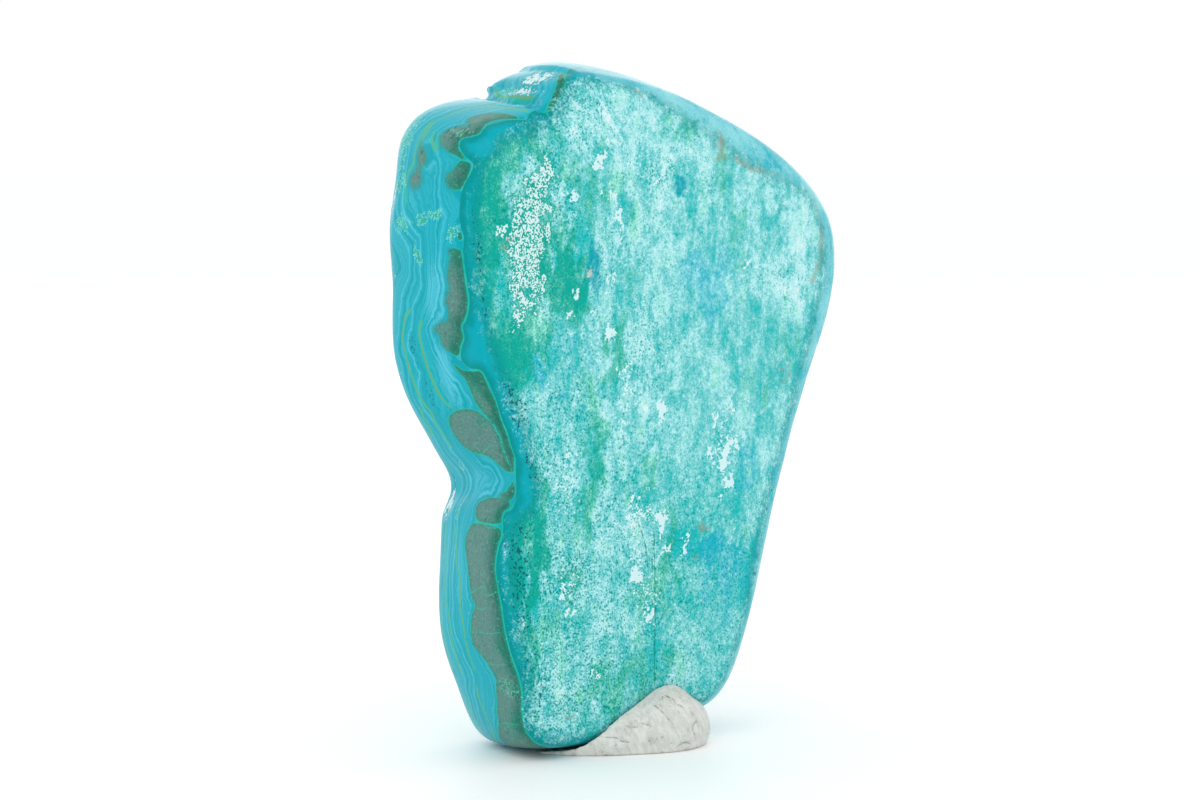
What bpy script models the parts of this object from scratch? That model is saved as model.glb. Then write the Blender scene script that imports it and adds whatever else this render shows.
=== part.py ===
"""A polished slab of banded chrysocolla, standing on its narrow end in a lump of putty.

Blender 4.5, metres, +Z up. The slab's broad faces look along -Y and +Y, its banded edge along -X.
Run with: blender --background --python part.py
"""

import math

import bmesh
import bpy
from mathutils import Vector, noise

MM = 0.001

# The slab: half its thickness in the middle of the broad faces, and how far away the faces would
# fall to half of that, because they swell a little towards their middle.
HALF_THICKNESS = 11.0 * MM
FACE_CENTRE = Vector((1.0, 56.0)) * MM
FACE_SWELL_REACH = 140 * MM
WALL_BULGE = 0.5 * MM

# How finely the slab is faceted.
STEPS_PER_STATION = 3
FACE_RINGS = (0.15, 0.31, 0.47, 0.62, 0.76, 0.88, 0.96)
FILLET_STEPS = 4
WALL_STEPS = 6
SMOOTHINGS = 2

# The rim, station by station: the front corner (x, z), the back corner (x, z), the front and back
# fillets, all in millimetres. It starts at the crown and runs down the banded edge first.
RIM_STATIONS = (
    # crown lobe
    ((-10.2, 97.0), (-6.6, 98.7), 3.5, 4.0),
    ((-15.4, 97.2), (-12.2, 97.9), 2.8, 3.2),
    ((-18.4, 95.4), (-16.6, 96.1), 1.8, 2.2),
    ((-19.8, 92.9), (-17.6, 94.6), 1.6, 1.8),
    # step down to the shoulder
    ((-23.4, 91.2), (-19.4, 93.6), 1.8, 2.0),
    ((-28.2, 89.9), (-24.4, 93.2), 2.2, 2.8),
    ((-32.6, 88.2), (-29.8, 91.4), 2.4, 3.6),
    ((-34.6, 84.9), (-33.4, 87.2), 2.2, 4.0),
    # banded edge
    ((-33.6, 80.5), (-33.9, 81.2), 1.8, 4.0),
    ((-34.2, 74.5), (-35.1, 75.2), 1.8, 4.0),
    ((-33.9, 68.0), (-34.3, 68.0), 1.8, 4.0),
    ((-32.7, 61.3), (-34.5, 61.2), 1.8, 4.0),
    ((-30.0, 54.8), (-33.7, 55.0), 1.8, 3.6),
    ((-27.1, 48.5), (-30.5, 48.4), 1.8, 3.2),
    ((-25.1, 43.0), (-26.5, 42.2), 1.8, 3.0),
    # saddle across the banded edge
    ((-24.9, 38.9), (-24.0, 37.6), 1.6, 2.8),
    ((-27.4, 35.6), (-25.9, 34.2), 1.6, 3.0),
    ((-28.7, 29.5), (-26.0, 28.6), 1.8, 3.2),
    ((-27.9, 22.5), (-26.7, 21.5), 1.8, 3.6),
    ((-26.4, 16.0), (-26.5, 14.6), 1.8, 4.0),
    ((-24.8, 9.8), (-24.0, 8.2), 1.8, 4.0),
    ((-23.8, 5.2), (-21.8, 3.4), 1.8, 3.8),
    # foot
    ((-22.0, 2.2), (-19.4, 0.4), 2.2, 3.8),
    ((-18.0, 1.1), (-15.5, -0.2), 2.6, 4.2),
    ((-10.5, 0.9), (-8.0, 0.3), 3.2, 4.4),
    ((-3.0, 1.8), (-2.0, 1.5), 3.8, 4.4),
    ((4.5, 2.8), (4.5, 2.7), 4.2, 4.4),
    ((10.8, 3.9), (10.8, 3.9), 4.2, 4.4),
    ((14.5, 7.6), (14.5, 7.6), 4.0, 4.4),
    # plain edge
    ((17.1, 13.6), (17.1, 13.6), 4.0, 4.4),
    ((19.5, 21.2), (19.5, 21.2), 4.0, 4.4),
    ((22.0, 30.7), (22.0, 30.7), 4.2, 4.4),
    ((25.3, 41.7), (25.3, 41.7), 4.4, 4.4),
    ((29.4, 52.2), (29.4, 52.2), 4.6, 4.4),
    ((33.2, 61.7), (33.2, 61.7), 4.6, 4.6),
    ((34.6, 69.7), (34.6, 69.7), 4.6, 4.6),
    ((33.1, 76.4), (33.1, 76.4), 4.6, 4.6),
    ((28.2, 82.3), (28.2, 82.3), 4.6, 4.6),
    ((20.1, 87.7), (20.1, 88.0), 4.4, 4.6),
    ((9.6, 92.3), (9.9, 93.0), 4.2, 4.6),
    ((-0.6, 95.8), (1.0, 97.1), 4.0, 4.4),
)

# Swells and dents of the rubbed surface: centre (x, y, z), reach and height along the normal, in
# millimetres. A negative height is a dent.
SURFACE_SWELLS = (
    ((-4.0, -11.0, 63.0), 7.0, -0.35),
    ((-12.0, -11.0, 82.0), 8.0, 0.30),
    ((18.0, -11.0, 70.0), 11.0, 0.35),
    ((8.0, -11.0, 40.0), 9.0, -0.30),
    ((-10.0, -11.0, 20.0), 8.0, 0.25),
    ((4.0, -11.0, 14.0), 7.0, -0.25),
    ((-30.0, 0.0, 84.0), 5.0, 0.45),
    ((-32.5, 3.0, 70.0), 6.0, 0.30),
    ((-28.0, -3.0, 44.0), 5.0, 0.35),
    ((-24.0, 6.0, 38.5), 4.0, -0.45),
    ((-26.5, 2.0, 27.0), 6.0, 0.30),
    ((-18.5, 4.0, 94.8), 2.5, -0.60),
    ((5.0, 11.0, 72.0), 10.0, 0.45),
    ((14.0, 11.0, 50.0), 8.0, -0.40),
    ((-14.0, 11.0, 58.0), 9.0, 0.40),
    ((-6.0, 11.0, 26.0), 8.0, -0.35),
    ((24.0, 11.0, 78.0), 7.0, -0.30),
)
UNEVENNESS = 0.16 * MM
UNEVEN_SPACING = 7.0 * MM

# The putty: a lump squeezed up against both broad faces, with a thin tail under the foot. Its
# stations along x are (x, half width, height), in millimetres.
PUTTY_STATIONS = (
    (-16.6, 4.5, 1.2),
    (-14.8, 8.2, 2.6),
    (-10.5, 11.6, 5.6),
    (-5.5, 14.0, 8.6),
    (-0.8, 15.4, 10.6),
    (3.4, 15.0, 9.8),
    (7.0, 12.6, 7.4),
    (9.4, 8.6, 4.8),
    (10.3, 4.0, 3.0),
)
PUTTY_STEPS_PER_STATION = 4
PUTTY_ARCH_STEPS = 22
PUTTY_SQUARENESS = 2.7
PUTTY_WIDEST_AT = 0.24
PUTTY_TUCK = 0.07
PUTTY_UNEVENNESS = 0.5 * MM
PUTTY_UNEVEN_SPACING = 5.0 * MM
SEAT_GAP = 0.35 * MM

# The two materials: waxy polished stone and matt putty.
STONE_COLOUR = (0.10, 0.55, 0.55)
STONE_ROUGHNESS = 0.3
PUTTY_COLOUR = (0.62, 0.64, 0.60)
PUTTY_ROUGHNESS = 0.85


def remove_everything():
    for obj in list(bpy.data.objects):
        bpy.data.objects.remove(obj)


def plain_material(name, colour, roughness):
    material = bpy.data.materials.new(name)
    material.use_nodes = True
    shader = material.node_tree.nodes["Principled BSDF"]
    shader.inputs["Base Color"].default_value = (*colour, 1.0)
    shader.inputs["Roughness"].default_value = roughness
    shader.inputs["Metallic"].default_value = 0.0
    material.diffuse_color = (*colour, 1.0)
    return material


def new_object(name, mesh, material):
    obj = bpy.data.objects.new(name, mesh)
    bpy.context.scene.collection.objects.link(obj)
    mesh.materials.append(material)
    return obj


def smooth_curve(before, start, end, after, t):
    """Catmull-Rom between start and end, for numbers or vectors."""
    return (
        start
        + (end - before) * (0.5 * t)
        + (before * 2 - start * 5 + end * 4 - after) * (0.5 * t * t)
        + (start * 3 - before - end * 3 + after) * (0.5 * t * t * t)
    )


def rim_curve():
    """The rim stations as one closed smooth curve: rows of front, back, front fillet and back fillet."""
    stations = [
        (Vector(front) * MM, Vector(back) * MM, front_fillet * MM, back_fillet * MM)
        for front, back, front_fillet, back_fillet in RIM_STATIONS
    ]
    count = len(stations)
    rows = []
    for i in range(count):
        nearby = [stations[(i + k) % count] for k in (-1, 0, 1, 2)]
        for step in range(STEPS_PER_STATION):
            t = step / STEPS_PER_STATION
            rows.append(tuple(smooth_curve(*column, t) for column in zip(*nearby)))
    return rows


def outward(points, i):
    """The outward normal of a closed outline that runs anticlockwise seen from the front."""
    along = points[(i + 2) % len(points)] - points[i - 2]
    return Vector((along.y, -along.x)).normalized()


def face_depth(at):
    """How far the broad faces stand from the middle plane at a place (x, z)."""
    away = (at - FACE_CENTRE).length / FACE_SWELL_REACH
    return HALF_THICKNESS * (1 - 0.5 * away * away)


def fillet(corner, out, radius):
    """The quarter round from a broad face to the rim: its places (x, z) and depths under the face."""
    steps = [0.5 * math.pi * step / FILLET_STEPS for step in range(FILLET_STEPS + 1)]
    return [(corner - out * radius * (1 - math.sin(a)), radius * (1 - math.cos(a))) for a in steps]


def section(front, back, front_out, back_out, front_fillet, back_fillet):
    """One section of the slab, from the middle of the front face over the rim to the middle of the back."""
    front_inner = front - front_out * front_fillet
    back_inner = back - back_out * back_fillet
    front_depth, back_depth = face_depth(front_inner), face_depth(back_inner)
    points = []
    for share in FACE_RINGS:
        at = FACE_CENTRE.lerp(front_inner, share)
        points.append((at, -face_depth(at)))
    for at, under in fillet(front, front_out, front_fillet):
        points.append((at, -front_depth + under))
    wall_front, wall_back = -front_depth + front_fillet, back_depth - back_fillet
    for step in range(1, WALL_STEPS):
        t = step / WALL_STEPS
        swell = front_out.lerp(back_out, t) * WALL_BULGE * 4 * t * (1 - t)
        points.append((front.lerp(back, t) + swell, wall_front + (wall_back - wall_front) * t))
    for at, under in reversed(fillet(back, back_out, back_fillet)):
        points.append((at, back_depth - under))
    for share in reversed(FACE_RINGS):
        at = FACE_CENTRE.lerp(back_inner, share)
        points.append((at, face_depth(at)))
    return [Vector((at.x, y, at.y)) for at, y in points]


def skin_sections(bm, sections):
    """Skins the sections with quads, and closes both broad faces on a middle point."""
    grid = [[bm.verts.new(point) for point in points] for points in sections]
    front_pole = bm.verts.new((FACE_CENTRE.x, -HALF_THICKNESS, FACE_CENTRE.y))
    back_pole = bm.verts.new((FACE_CENTRE.x, HALF_THICKNESS, FACE_CENTRE.y))
    for i, here in enumerate(grid):
        after = grid[(i + 1) % len(grid)]
        bm.faces.new((front_pole, after[0], here[0]))
        bm.faces.new((back_pole, here[-1], after[-1]))
        for k in range(len(here) - 1):
            bm.faces.new((here[k], after[k], after[k + 1], here[k + 1]))
    bmesh.ops.recalc_face_normals(bm, faces=bm.faces)
    bm.normal_update()


def surface_height(point):
    """How far the rubbed surface stands above or below the plain lofted one at a point."""
    height = UNEVENNESS * noise.noise(point / UNEVEN_SPACING)
    for centre, reach, swell in SURFACE_SWELLS:
        distance = (point - Vector(centre) * MM).length / (reach * MM)
        height += swell * MM * math.exp(-(distance**2))
    return height


def slab_mesh(grow=0.0):
    """The slab's mesh, standing with its lowest point on z = 0. grow moves its surface outwards."""
    rim = rim_curve()
    fronts = [row[0] for row in rim]
    backs = [row[1] for row in rim]
    sections = [
        section(front, back, outward(fronts, i), outward(backs, i), front_fillet, back_fillet)
        for i, (front, back, front_fillet, back_fillet) in enumerate(rim)
    ]
    bm = bmesh.new()
    skin_sections(bm, sections)
    for _ in range(SMOOTHINGS):
        bmesh.ops.smooth_vert(
            bm, verts=bm.verts, factor=0.5, use_axis_x=True, use_axis_y=True, use_axis_z=True
        )
    bm.normal_update()
    moved = [vert.co + vert.normal * surface_height(vert.co) for vert in bm.verts]
    for vert, co in zip(bm.verts, moved):
        vert.co = co
    floor = min(vert.co.z for vert in bm.verts)
    bmesh.ops.translate(bm, verts=bm.verts, vec=(0.0, 0.0, -floor))
    if grow:
        bm.normal_update()
        grown = [vert.co + vert.normal * grow for vert in bm.verts]
        for vert, co in zip(bm.verts, grown):
            vert.co = co
    mesh = bpy.data.meshes.new("slab")
    bm.to_mesh(mesh)
    bm.free()
    mesh.shade_smooth()
    return mesh


def putty_arch(x, half_width, height):
    """One arch of the lump: up its front side, over its top and down its rear side to the base."""
    power = 2 / PUTTY_SQUARENESS
    widest = height * PUTTY_WIDEST_AT
    arch = []
    for step in range(PUTTY_ARCH_STEPS + 1):
        angle = math.pi * step / PUTTY_ARCH_STEPS
        across = math.copysign(abs(math.cos(angle)) ** power, math.cos(angle))
        rise = max(0.0, math.sin(angle)) ** power
        arch.append(Vector((x, -across * half_width, widest + rise * (height - widest))))
    foot = half_width * (1 - PUTTY_TUCK)
    return [Vector((x, -foot, 0.0)), *arch, Vector((x, foot, 0.0))]


def putty_mesh():
    stations = [Vector(station) * MM for station in PUTTY_STATIONS]
    stations = [stations[0] * 2 - stations[1], *stations, stations[-1] * 2 - stations[-2]]
    arches = []
    for nearby in zip(stations, stations[1:], stations[2:], stations[3:]):
        for step in range(PUTTY_STEPS_PER_STATION):
            t = step / PUTTY_STEPS_PER_STATION
            arches.append(putty_arch(*smooth_curve(*nearby, t)))
    arches.append(putty_arch(*stations[-2]))
    bm = bmesh.new()
    grid = [[bm.verts.new(point) for point in arch] for arch in arches]
    for here, after in zip(grid, grid[1:]):
        for k in range(len(here) - 1):
            bm.faces.new((here[k], after[k], after[k + 1], here[k + 1]))
        bm.faces.new((here[0], here[-1], after[-1], after[0]))
    for end in (grid[0], grid[-1]):
        bm.faces.new(end)
    bmesh.ops.recalc_face_normals(bm, faces=bm.faces)
    bm.normal_update()
    for vert in bm.verts:
        if vert.co.z > 0:
            height = PUTTY_UNEVENNESS * noise.noise(vert.co / PUTTY_UNEVEN_SPACING)
            vert.co += vert.normal * height
    mesh = bpy.data.meshes.new("putty")
    bm.to_mesh(mesh)
    bm.free()
    mesh.shade_smooth()
    return mesh


def seat_cutter():
    """The slab grown by the seat's gap, which presses its shape into the putty."""
    cutter = bpy.data.objects.new("seat_cutter", slab_mesh(grow=SEAT_GAP))
    bpy.context.scene.collection.objects.link(cutter)
    cutter.hide_render = True
    cutter.display_type = "WIRE"
    return cutter


def main():
    remove_everything()
    stone = plain_material("chrysocolla", STONE_COLOUR, STONE_ROUGHNESS)
    new_object("chrysocolla_slab", slab_mesh(), stone)
    putty = new_object("putty_lump", putty_mesh(), plain_material("putty", PUTTY_COLOUR, PUTTY_ROUGHNESS))
    press = putty.modifiers.new("seat", "BOOLEAN")
    press.operation = "DIFFERENCE"
    press.solver = "EXACT"
    press.object = seat_cutter()


main()
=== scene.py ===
"""A polished chrysocolla slab in its lump of putty, dressed as a Blender add-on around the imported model."""

import math
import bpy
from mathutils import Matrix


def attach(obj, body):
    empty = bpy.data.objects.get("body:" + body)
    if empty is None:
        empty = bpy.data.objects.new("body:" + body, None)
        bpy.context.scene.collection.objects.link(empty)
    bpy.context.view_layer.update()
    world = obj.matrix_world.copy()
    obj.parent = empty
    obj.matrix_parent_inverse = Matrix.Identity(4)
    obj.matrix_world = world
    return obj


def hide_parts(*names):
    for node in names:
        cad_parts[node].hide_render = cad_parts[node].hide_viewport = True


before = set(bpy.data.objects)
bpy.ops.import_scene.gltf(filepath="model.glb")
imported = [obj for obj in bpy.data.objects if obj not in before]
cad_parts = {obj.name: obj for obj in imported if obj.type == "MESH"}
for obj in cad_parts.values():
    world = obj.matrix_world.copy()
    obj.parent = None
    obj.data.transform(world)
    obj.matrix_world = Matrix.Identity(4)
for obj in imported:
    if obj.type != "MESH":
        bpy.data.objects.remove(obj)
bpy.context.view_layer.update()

from types import SimpleNamespace

import bpy
import numpy as np
from mathutils import Euler, Vector, noise as turbulence

bl_info = {
    "name": "Chrysocolla specimen",
    "version": (1, 0, 0),
    "blender": (4, 5, 0),
    "location": "3D View > Sidebar > Specimen",
    "description": "Makes the polished chrysocolla slab, its putty and the studio around them",
    "category": "Object",
}

MM = 0.001
SLAB_NODE = "chrysocolla_slab"
PUTTY_NODE = "putty_lump"

# Corners of the CAD mesh that are closer than this are merged.
MERGE_GAP = 0.01 * MM
# Passes of smoothing after the fine remeshing.
SLAB_SOFTENING = 6
PUTTY_SOFTENING = 12
# Feature sizes of the uneven surfaces.
RIPPLE_SIZE = 9 * MM
LEDGE_SIZE = 1.3 * MM
KNEAD_SIZE = 4 * MM
GRIT_SIZE = 0.6 * MM

# The camera's sensor is in millimetres and its near limit in metres.
SENSOR_WIDTH = 36.0
CAMERA_NEAR = 0.01
FLOOR_SIDES = 96
# The lamps, as name: (width and height, place), in metres. Each faces the point that the camera looks at.
LAMPS = {
    "overhead_lamp": ((0.6, 0.4), (-0.35, -0.35, 0.55)),
    "back_panel": ((2.2, 0.8), (0.75, 1.03, 0.25)),
}

# Two charts place every marking, in millimetres.
# The rim chart runs round the slab's edge. "Along" counts from the top of the crown, down the left side as
# seen from the front, under the foot and up the plain side. "Across" is 0 in the middle of the edge,
# negative towards the front face and on into it, and positive towards the back face.
# The face chart is the slab's own X and Z.

# The brown and grey-green agate patches on the banded edge, as (along, across) outlines.
AGATE_PATCHES = {
    "crown strip": (
        (5.0, -7.0), (8.0, -9.4), (9.8, -10.0), (11.0, -10.6), (11.8, -11.3), (11.9, -11.8), (10.9, -11.8),
        (10.0, -11.6), (8.9, -11.4), (7.2, -10.7), (5.0, -8.7),
    ),
    "lens": (
        (22.6, -6.6), (21.2, -5.1), (19.4, -5.0), (17.6, -5.6), (16.6, -7.3), (16.3, -9.6), (16.2, -11.3),
        (17.5, -10.5), (18.6, -9.7), (20.2, -9.5), (21.6, -10.0), (23.5, -11.0), (23.2, -8.6),
    ),
    "hatched patch": (
        (26.4, -3.6), (25.2, -4.0), (24.0, -5.4), (23.3, -7.2), (22.8, -8.2), (22.2, -9.9), (23.7, -11.0),
        (25.4, -10.3), (26.4, -8.6), (27.9, -9.0), (29.3, -10.5), (29.5, -9.8), (29.2, -8.7), (28.8, -7.1),
        (28.3, -5.9), (27.7, -4.6),
    ),
    "drop": (
        (29.9, -10.0), (30.1, -11.6), (30.9, -12.0), (32.1, -11.3), (33.4, -10.3), (33.9, -8.7),
        (33.7, -7.1), (33.0, -6.1), (32.0, -6.4), (31.5, -7.6), (30.9, -8.7),
    ),
    "small spot": ((39.9, -9.9), (39.7, -10.7), (40.6, -10.9), (40.9, -10.4), (40.6, -9.9)),
    "side patch": (
        (27.6, 0.6), (28.6, -1.1), (29.8, -1.9), (30.6, -1.3), (31.4, -0.1), (32.4, -0.3), (33.5, 0.2),
        (34.0, 1.2), (33.9, 2.4), (33.1, 3.1), (32.2, 2.9), (31.4, 1.6), (30.6, 0.8), (29.4, 1.1),
    ),
    "upper band": (
        (42.3, -7.8), (43.5, -7.9), (45.0, -7.2), (46.5, -6.8), (47.5, -7.2), (48.6, -6.3), (49.7, -6.0),
        (50.8, -6.4), (52.2, -6.1), (52.5, -4.6), (53.2, -2.9), (53.8, -2.5), (54.4, -3.6), (55.3, -3.7),
        (56.2, -4.0), (57.1, -5.4), (57.6, -7.0), (56.0, -8.1), (54.6, -9.2), (53.1, -9.1), (52.0, -10.1),
        (50.7, -10.9), (49.0, -11.2), (47.2, -11.0), (45.6, -10.9), (43.9, -10.8), (42.3, -10.4),
    ),
    "middle band": (
        (58.8, -5.1), (59.2, -5.9), (59.8, -6.7), (60.1, -8.7), (60.2, -10.8), (61.4, -11.3), (62.9, -11.4),
        (64.9, -11.7), (66.3, -11.6), (68.4, -11.3), (70.2, -11.4), (71.8, -11.1), (73.6, -11.0),
        (75.1, -10.0), (75.8, -9.5), (74.2, -9.3), (72.5, -9.4), (70.7, -9.8), (69.1, -9.6), (67.9, -8.9),
        (66.7, -8.0), (65.6, -7.4), (64.4, -7.1), (62.4, -7.0), (61.3, -6.9), (60.6, -6.3), (59.7, -5.6),
    ),
    "oval": (
        (68.1, 0.8), (67.0, 0.2), (66.2, -1.7), (65.9, -4.0), (66.1, -6.1), (66.7, -7.3), (67.8, -8.4),
        (69.0, -9.1), (70.5, -9.3), (72.4, -9.0), (74.2, -9.0), (75.6, -9.3), (75.6, -7.8), (74.8, -6.8),
        (74.0, -5.9), (73.4, -4.8), (73.0, -2.9), (72.4, -1.0), (71.5, 0.2), (70.0, 0.9),
    ),
    "saddle wedge": ((79.1, -6.0), (78.0, -7.5), (77.0, -9.0), (79.3, -9.2), (79.4, -7.6)),
    "lower cap": (
        (82.9, -2.8), (81.4, -1.8), (80.5, -2.1), (79.9, -3.5), (79.5, -6.1), (79.7, -8.6), (80.6, -9.6),
        (81.4, -8.8), (82.3, -8.9), (83.0, -9.1), (83.3, -6.6), (83.3, -4.2),
    ),
    "lower band": (
        (83.6, -3.4), (83.8, -2.1), (84.8, -1.2), (85.9, -0.9), (87.2, -0.9), (89.1, -1.6), (90.8, -2.0),
        (92.7, -2.3), (94.2, -2.6), (95.2, -3.4), (96.5, -2.5), (97.9, -1.9), (99.7, -1.6), (101.3, -1.8),
        (102.4, -3.0), (103.5, -4.0), (104.9, -5.0), (106.2, -5.4), (107.9, -4.6), (109.6, -4.1),
        (111.4, -3.2), (112.7, -3.0), (115.0, -1.6), (117.5, -0.8), (121.0, -1.5), (122.0, -6.0),
        (119.6, -9.8), (116.5, -9.8), (113.8, -9.2), (111.1, -9.4), (108.0, -10.5), (106.0, -10.8),
        (104.0, -10.7), (100.5, -10.2), (98.0, -9.9), (95.0, -9.7), (92.0, -9.2), (89.0, -8.7),
        (86.0, -9.1), (84.0, -9.4), (83.6, -6.5),
    ),
    "far side band": (
        (158.0, 1.0), (164.0, -2.5), (171.0, -3.6), (178.0, -2.0), (186.0, -3.0), (193.0, -1.0),
        (195.0, 2.0), (188.0, 3.8), (180.0, 2.6), (172.0, 3.4), (164.0, 3.6),
    ),
    "far side lens": ((206.0, 2.0), (210.0, -1.2), (216.0, -1.8), (221.0, 0.6), (218.0, 3.8), (211.0, 4.2)),
    "shoulder lens": ((236.0, 3.0), (241.0, 0.2), (247.0, 0.8), (251.0, 3.6), (246.0, 6.0), (240.0, 5.6)),
}
# The thin green seam between the banded edge and the teal rim, from the crown to the foot.
GREEN_SEAM = (
    (1.0, -5.5), (4.9, -8.0), (7.3, -10.9), (9.2, -11.6), (10.2, -11.8), (11.9, -11.9), (13.1, -11.0),
    (14.3, -10.9), (15.2, -12.1), (16.5, -11.6), (17.8, -10.7), (19.7, -10.4), (20.9, -10.2), (22.6, -10.8),
    (24.0, -11.3), (25.5, -10.4), (26.2, -9.0), (27.2, -8.9), (28.1, -9.4), (29.1, -10.5), (29.6, -11.5),
    (30.0, -12.2), (30.9, -12.3), (32.1, -11.5), (33.4, -10.3), (34.6, -9.9), (36.5, -9.9), (38.6, -10.5),
    (40.2, -11.2), (42.4, -11.0), (44.4, -11.1), (47.1, -11.3), (49.0, -11.5), (50.6, -11.2), (52.1, -10.4),
    (53.1, -9.4), (54.7, -9.4), (56.2, -8.3), (57.6, -7.5), (58.8, -7.6), (59.7, -8.9), (60.1, -10.9),
    (61.5, -11.6), (64.6, -11.9), (67.9, -11.5), (70.0, -11.6), (71.8, -11.3), (74.3, -11.0), (76.0, -9.9),
    (77.9, -9.5), (79.3, -9.9), (80.8, -10.0), (81.6, -9.1), (83.1, -9.4), (84.6, -9.8), (86.0, -9.4),
    (88.1, -9.0), (90.2, -9.0), (92.3, -9.4), (95.0, -9.9), (98.5, -10.2), (102.7, -10.7), (106.0, -11.1),
    (109.5, -10.3), (112.7, -9.2), (115.6, -9.9), (119.6, -10.4), (124.0, -9.0), (128.0, -5.0),
)
# Where the teal rim gives way to the speckled front face, all the way round.
FRONT_RIM = (
    (0.0, -12.2), (6.4, -11.9), (9.3, -12.3), (12.0, -13.1), (16.9, -13.9), (21.0, -14.4), (24.1, -15.6),
    (27.5, -15.4), (29.2, -13.8), (32.1, -13.2), (34.4, -12.5), (37.0, -12.4), (40.2, -13.2), (43.2, -13.1),
    (46.7, -13.4), (52.4, -14.1), (59.0, -14.4), (65.3, -14.6), (71.2, -14.5), (74.2, -14.1), (76.6, -13.1),
    (79.5, -12.8), (81.1, -11.8), (83.7, -11.3), (89.5, -11.4), (95.9, -12.0), (102.6, -12.6),
    (106.3, -12.3), (110.5, -11.0), (112.7, -10.6), (115.9, -11.7), (120.0, -12.2), (130.0, -11.4),
    (140.0, -11.2), (150.0, -12.2), (161.0, -13.0), (168.0, -13.2), (176.0, -14.2), (193.0, -14.3),
    (202.0, -14.9), (211.0, -15.7), (217.0, -15.8), (223.0, -15.4), (229.0, -14.9), (233.0, -14.3),
    (236.0, -13.8), (240.0, -14.8), (244.0, -16.1), (248.0, -16.4), (252.0, -16.1), (255.0, -15.2),
    (262.0, -15.3), (266.5, -14.5), (270.5, -13.2), (274.4, -12.8), (279.0, -12.2),
)
# Thin ochre-green growth lines on the edge, as (along, across) courses.
OCHRE_LINES = (
    ((14.3, -10.2), (14.4, -7.7), (14.9, -4.5), (15.9, -1.7), (17.6, -0.5), (20.9, -0.5), (24.2, 0.4),
     (26.3, 0.5), (28.4, 0.2)),
    ((9.2, 7.6), (9.9, 5.6), (10.4, 2.8), (10.6, 0.0), (10.8, -3.0), (10.8, -6.0)),
    ((26.0, -1.5), (26.9, -1.9), (27.8, -2.8), (28.5, -3.6), (28.1, -4.2), (27.2, -3.5), (26.2, -3.0)),
    ((24.2, 1.5), (26.4, 1.7), (28.4, 1.9), (30.4, 2.2), (31.8, 3.8), (33.8, 4.2), (36.0, 3.6)),
    ((51.3, 2.9), (52.0, 3.9), (53.7, 4.4), (55.5, 4.7), (57.4, 4.3), (61.3, 4.1), (64.1, 4.1), (66.4, 3.3),
     (68.6, 3.6), (72.0, 3.0)),
    ((52.7, 0.3), (54.2, 1.0), (57.3, 0.9), (61.3, 0.7), (64.2, 0.2), (65.6, -1.2)),
    ((66.0, 5.2), (68.0, 6.0), (69.6, 5.8), (70.4, 6.8)),
    ((85.2, 7.6), (88.0, 7.9), (91.0, 6.4), (93.8, 6.7), (96.8, 5.4), (100.6, 4.5), (103.7, 3.9),
     (106.0, 4.0)),
    ((84.6, 3.6), (87.4, 2.2), (89.4, 1.9), (92.2, 0.4), (95.6, 0.8), (98.8, 0.2), (102.0, 0.1),
     (105.0, -0.3)),
    ((96.5, 7.8), (99.5, 8.0), (102.6, 6.9), (106.1, 7.4)),
    ((111.0, 6.2), (114.1, 5.7), (115.1, 5.1), (117.0, 5.4), (120.0, 5.4)),
    ((108.3, 0.7), (110.3, 1.0), (112.8, 0.4), (114.0, 0.0), (115.4, 0.3), (118.2, 2.0)),
    ((160.0, -5.6), (170.0, -6.2), (182.0, -5.4), (194.0, -5.9), (206.0, -4.6), (216.0, -5.2)),
    ((156.0, 6.0), (168.0, 6.8), (181.0, 6.0), (196.0, 6.4), (208.0, 7.2), (222.0, 6.4)),
)
# Hairline cracks healed with green, across the agate patches.
CRACKS = (
    ((83.4, -2.6), (83.4, -4.4), (83.9, -6.0), (83.8, -8.2)),
    ((73.4, -2.7), (72.4, -5.2), (71.5, -7.3)),
    ((93.4, -2.9), (92.7, -4.3), (92.1, -6.0)),
    ((93.1, -4.9), (93.4, -6.9), (92.6, -9.1)),
    ((95.2, -3.6), (95.7, -4.6), (95.3, -5.9)),
    ((99.3, -1.8), (99.1, -4.1), (99.0, -6.4), (98.6, -9.0)),
    ((103.6, -3.6), (103.8, -5.9), (103.6, -8.6)),
    ((106.2, -6.1), (106.5, -7.6), (106.6, -9.8)),
    ((107.4, -5.8), (107.5, -7.4), (107.7, -9.6)),
    ((112.9, -4.1), (112.7, -6.1), (112.6, -8.1)),
    ((113.9, -3.8), (113.1, -6.0), (112.5, -7.9)),
    ((114.9, -4.7), (116.3, -4.0)),
)
# Hairline scratches down the front face, in X and Z.
SCRATCHES = (
    ((-1.8, 31.0), (-1.6, 25.0), (-1.5, 18.0), (-1.3, 9.4)),
    ((-4.6, 33.0), (-3.4, 30.0), (-2.9, 26.4)),
)
# The edge of the crown's overhanging lip, in the rim chart, and the cuts beside it, as the setting that
# holds the depth: (the cut's middle, positive under the lip and negative on the crown, and its reach).
LIP = (
    (9.0, 14.0), (9.2, 11.0), (9.5, 8.6), (10.3, 6.2), (10.9, 3.0), (11.1, 0.0), (11.4, -3.0), (11.3, -6.8),
    (12.2, -8.8),
)
LIP_CUTS = {"groove": (0.3, 1.2), "shave": (-4.3, 3.8)}

# Soft patches, as name: (first place, second place, half width, half height, lean in degrees, strength).
# On the edge the places are along and across, in the rim chart, and on the faces they are X and Z.

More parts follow.
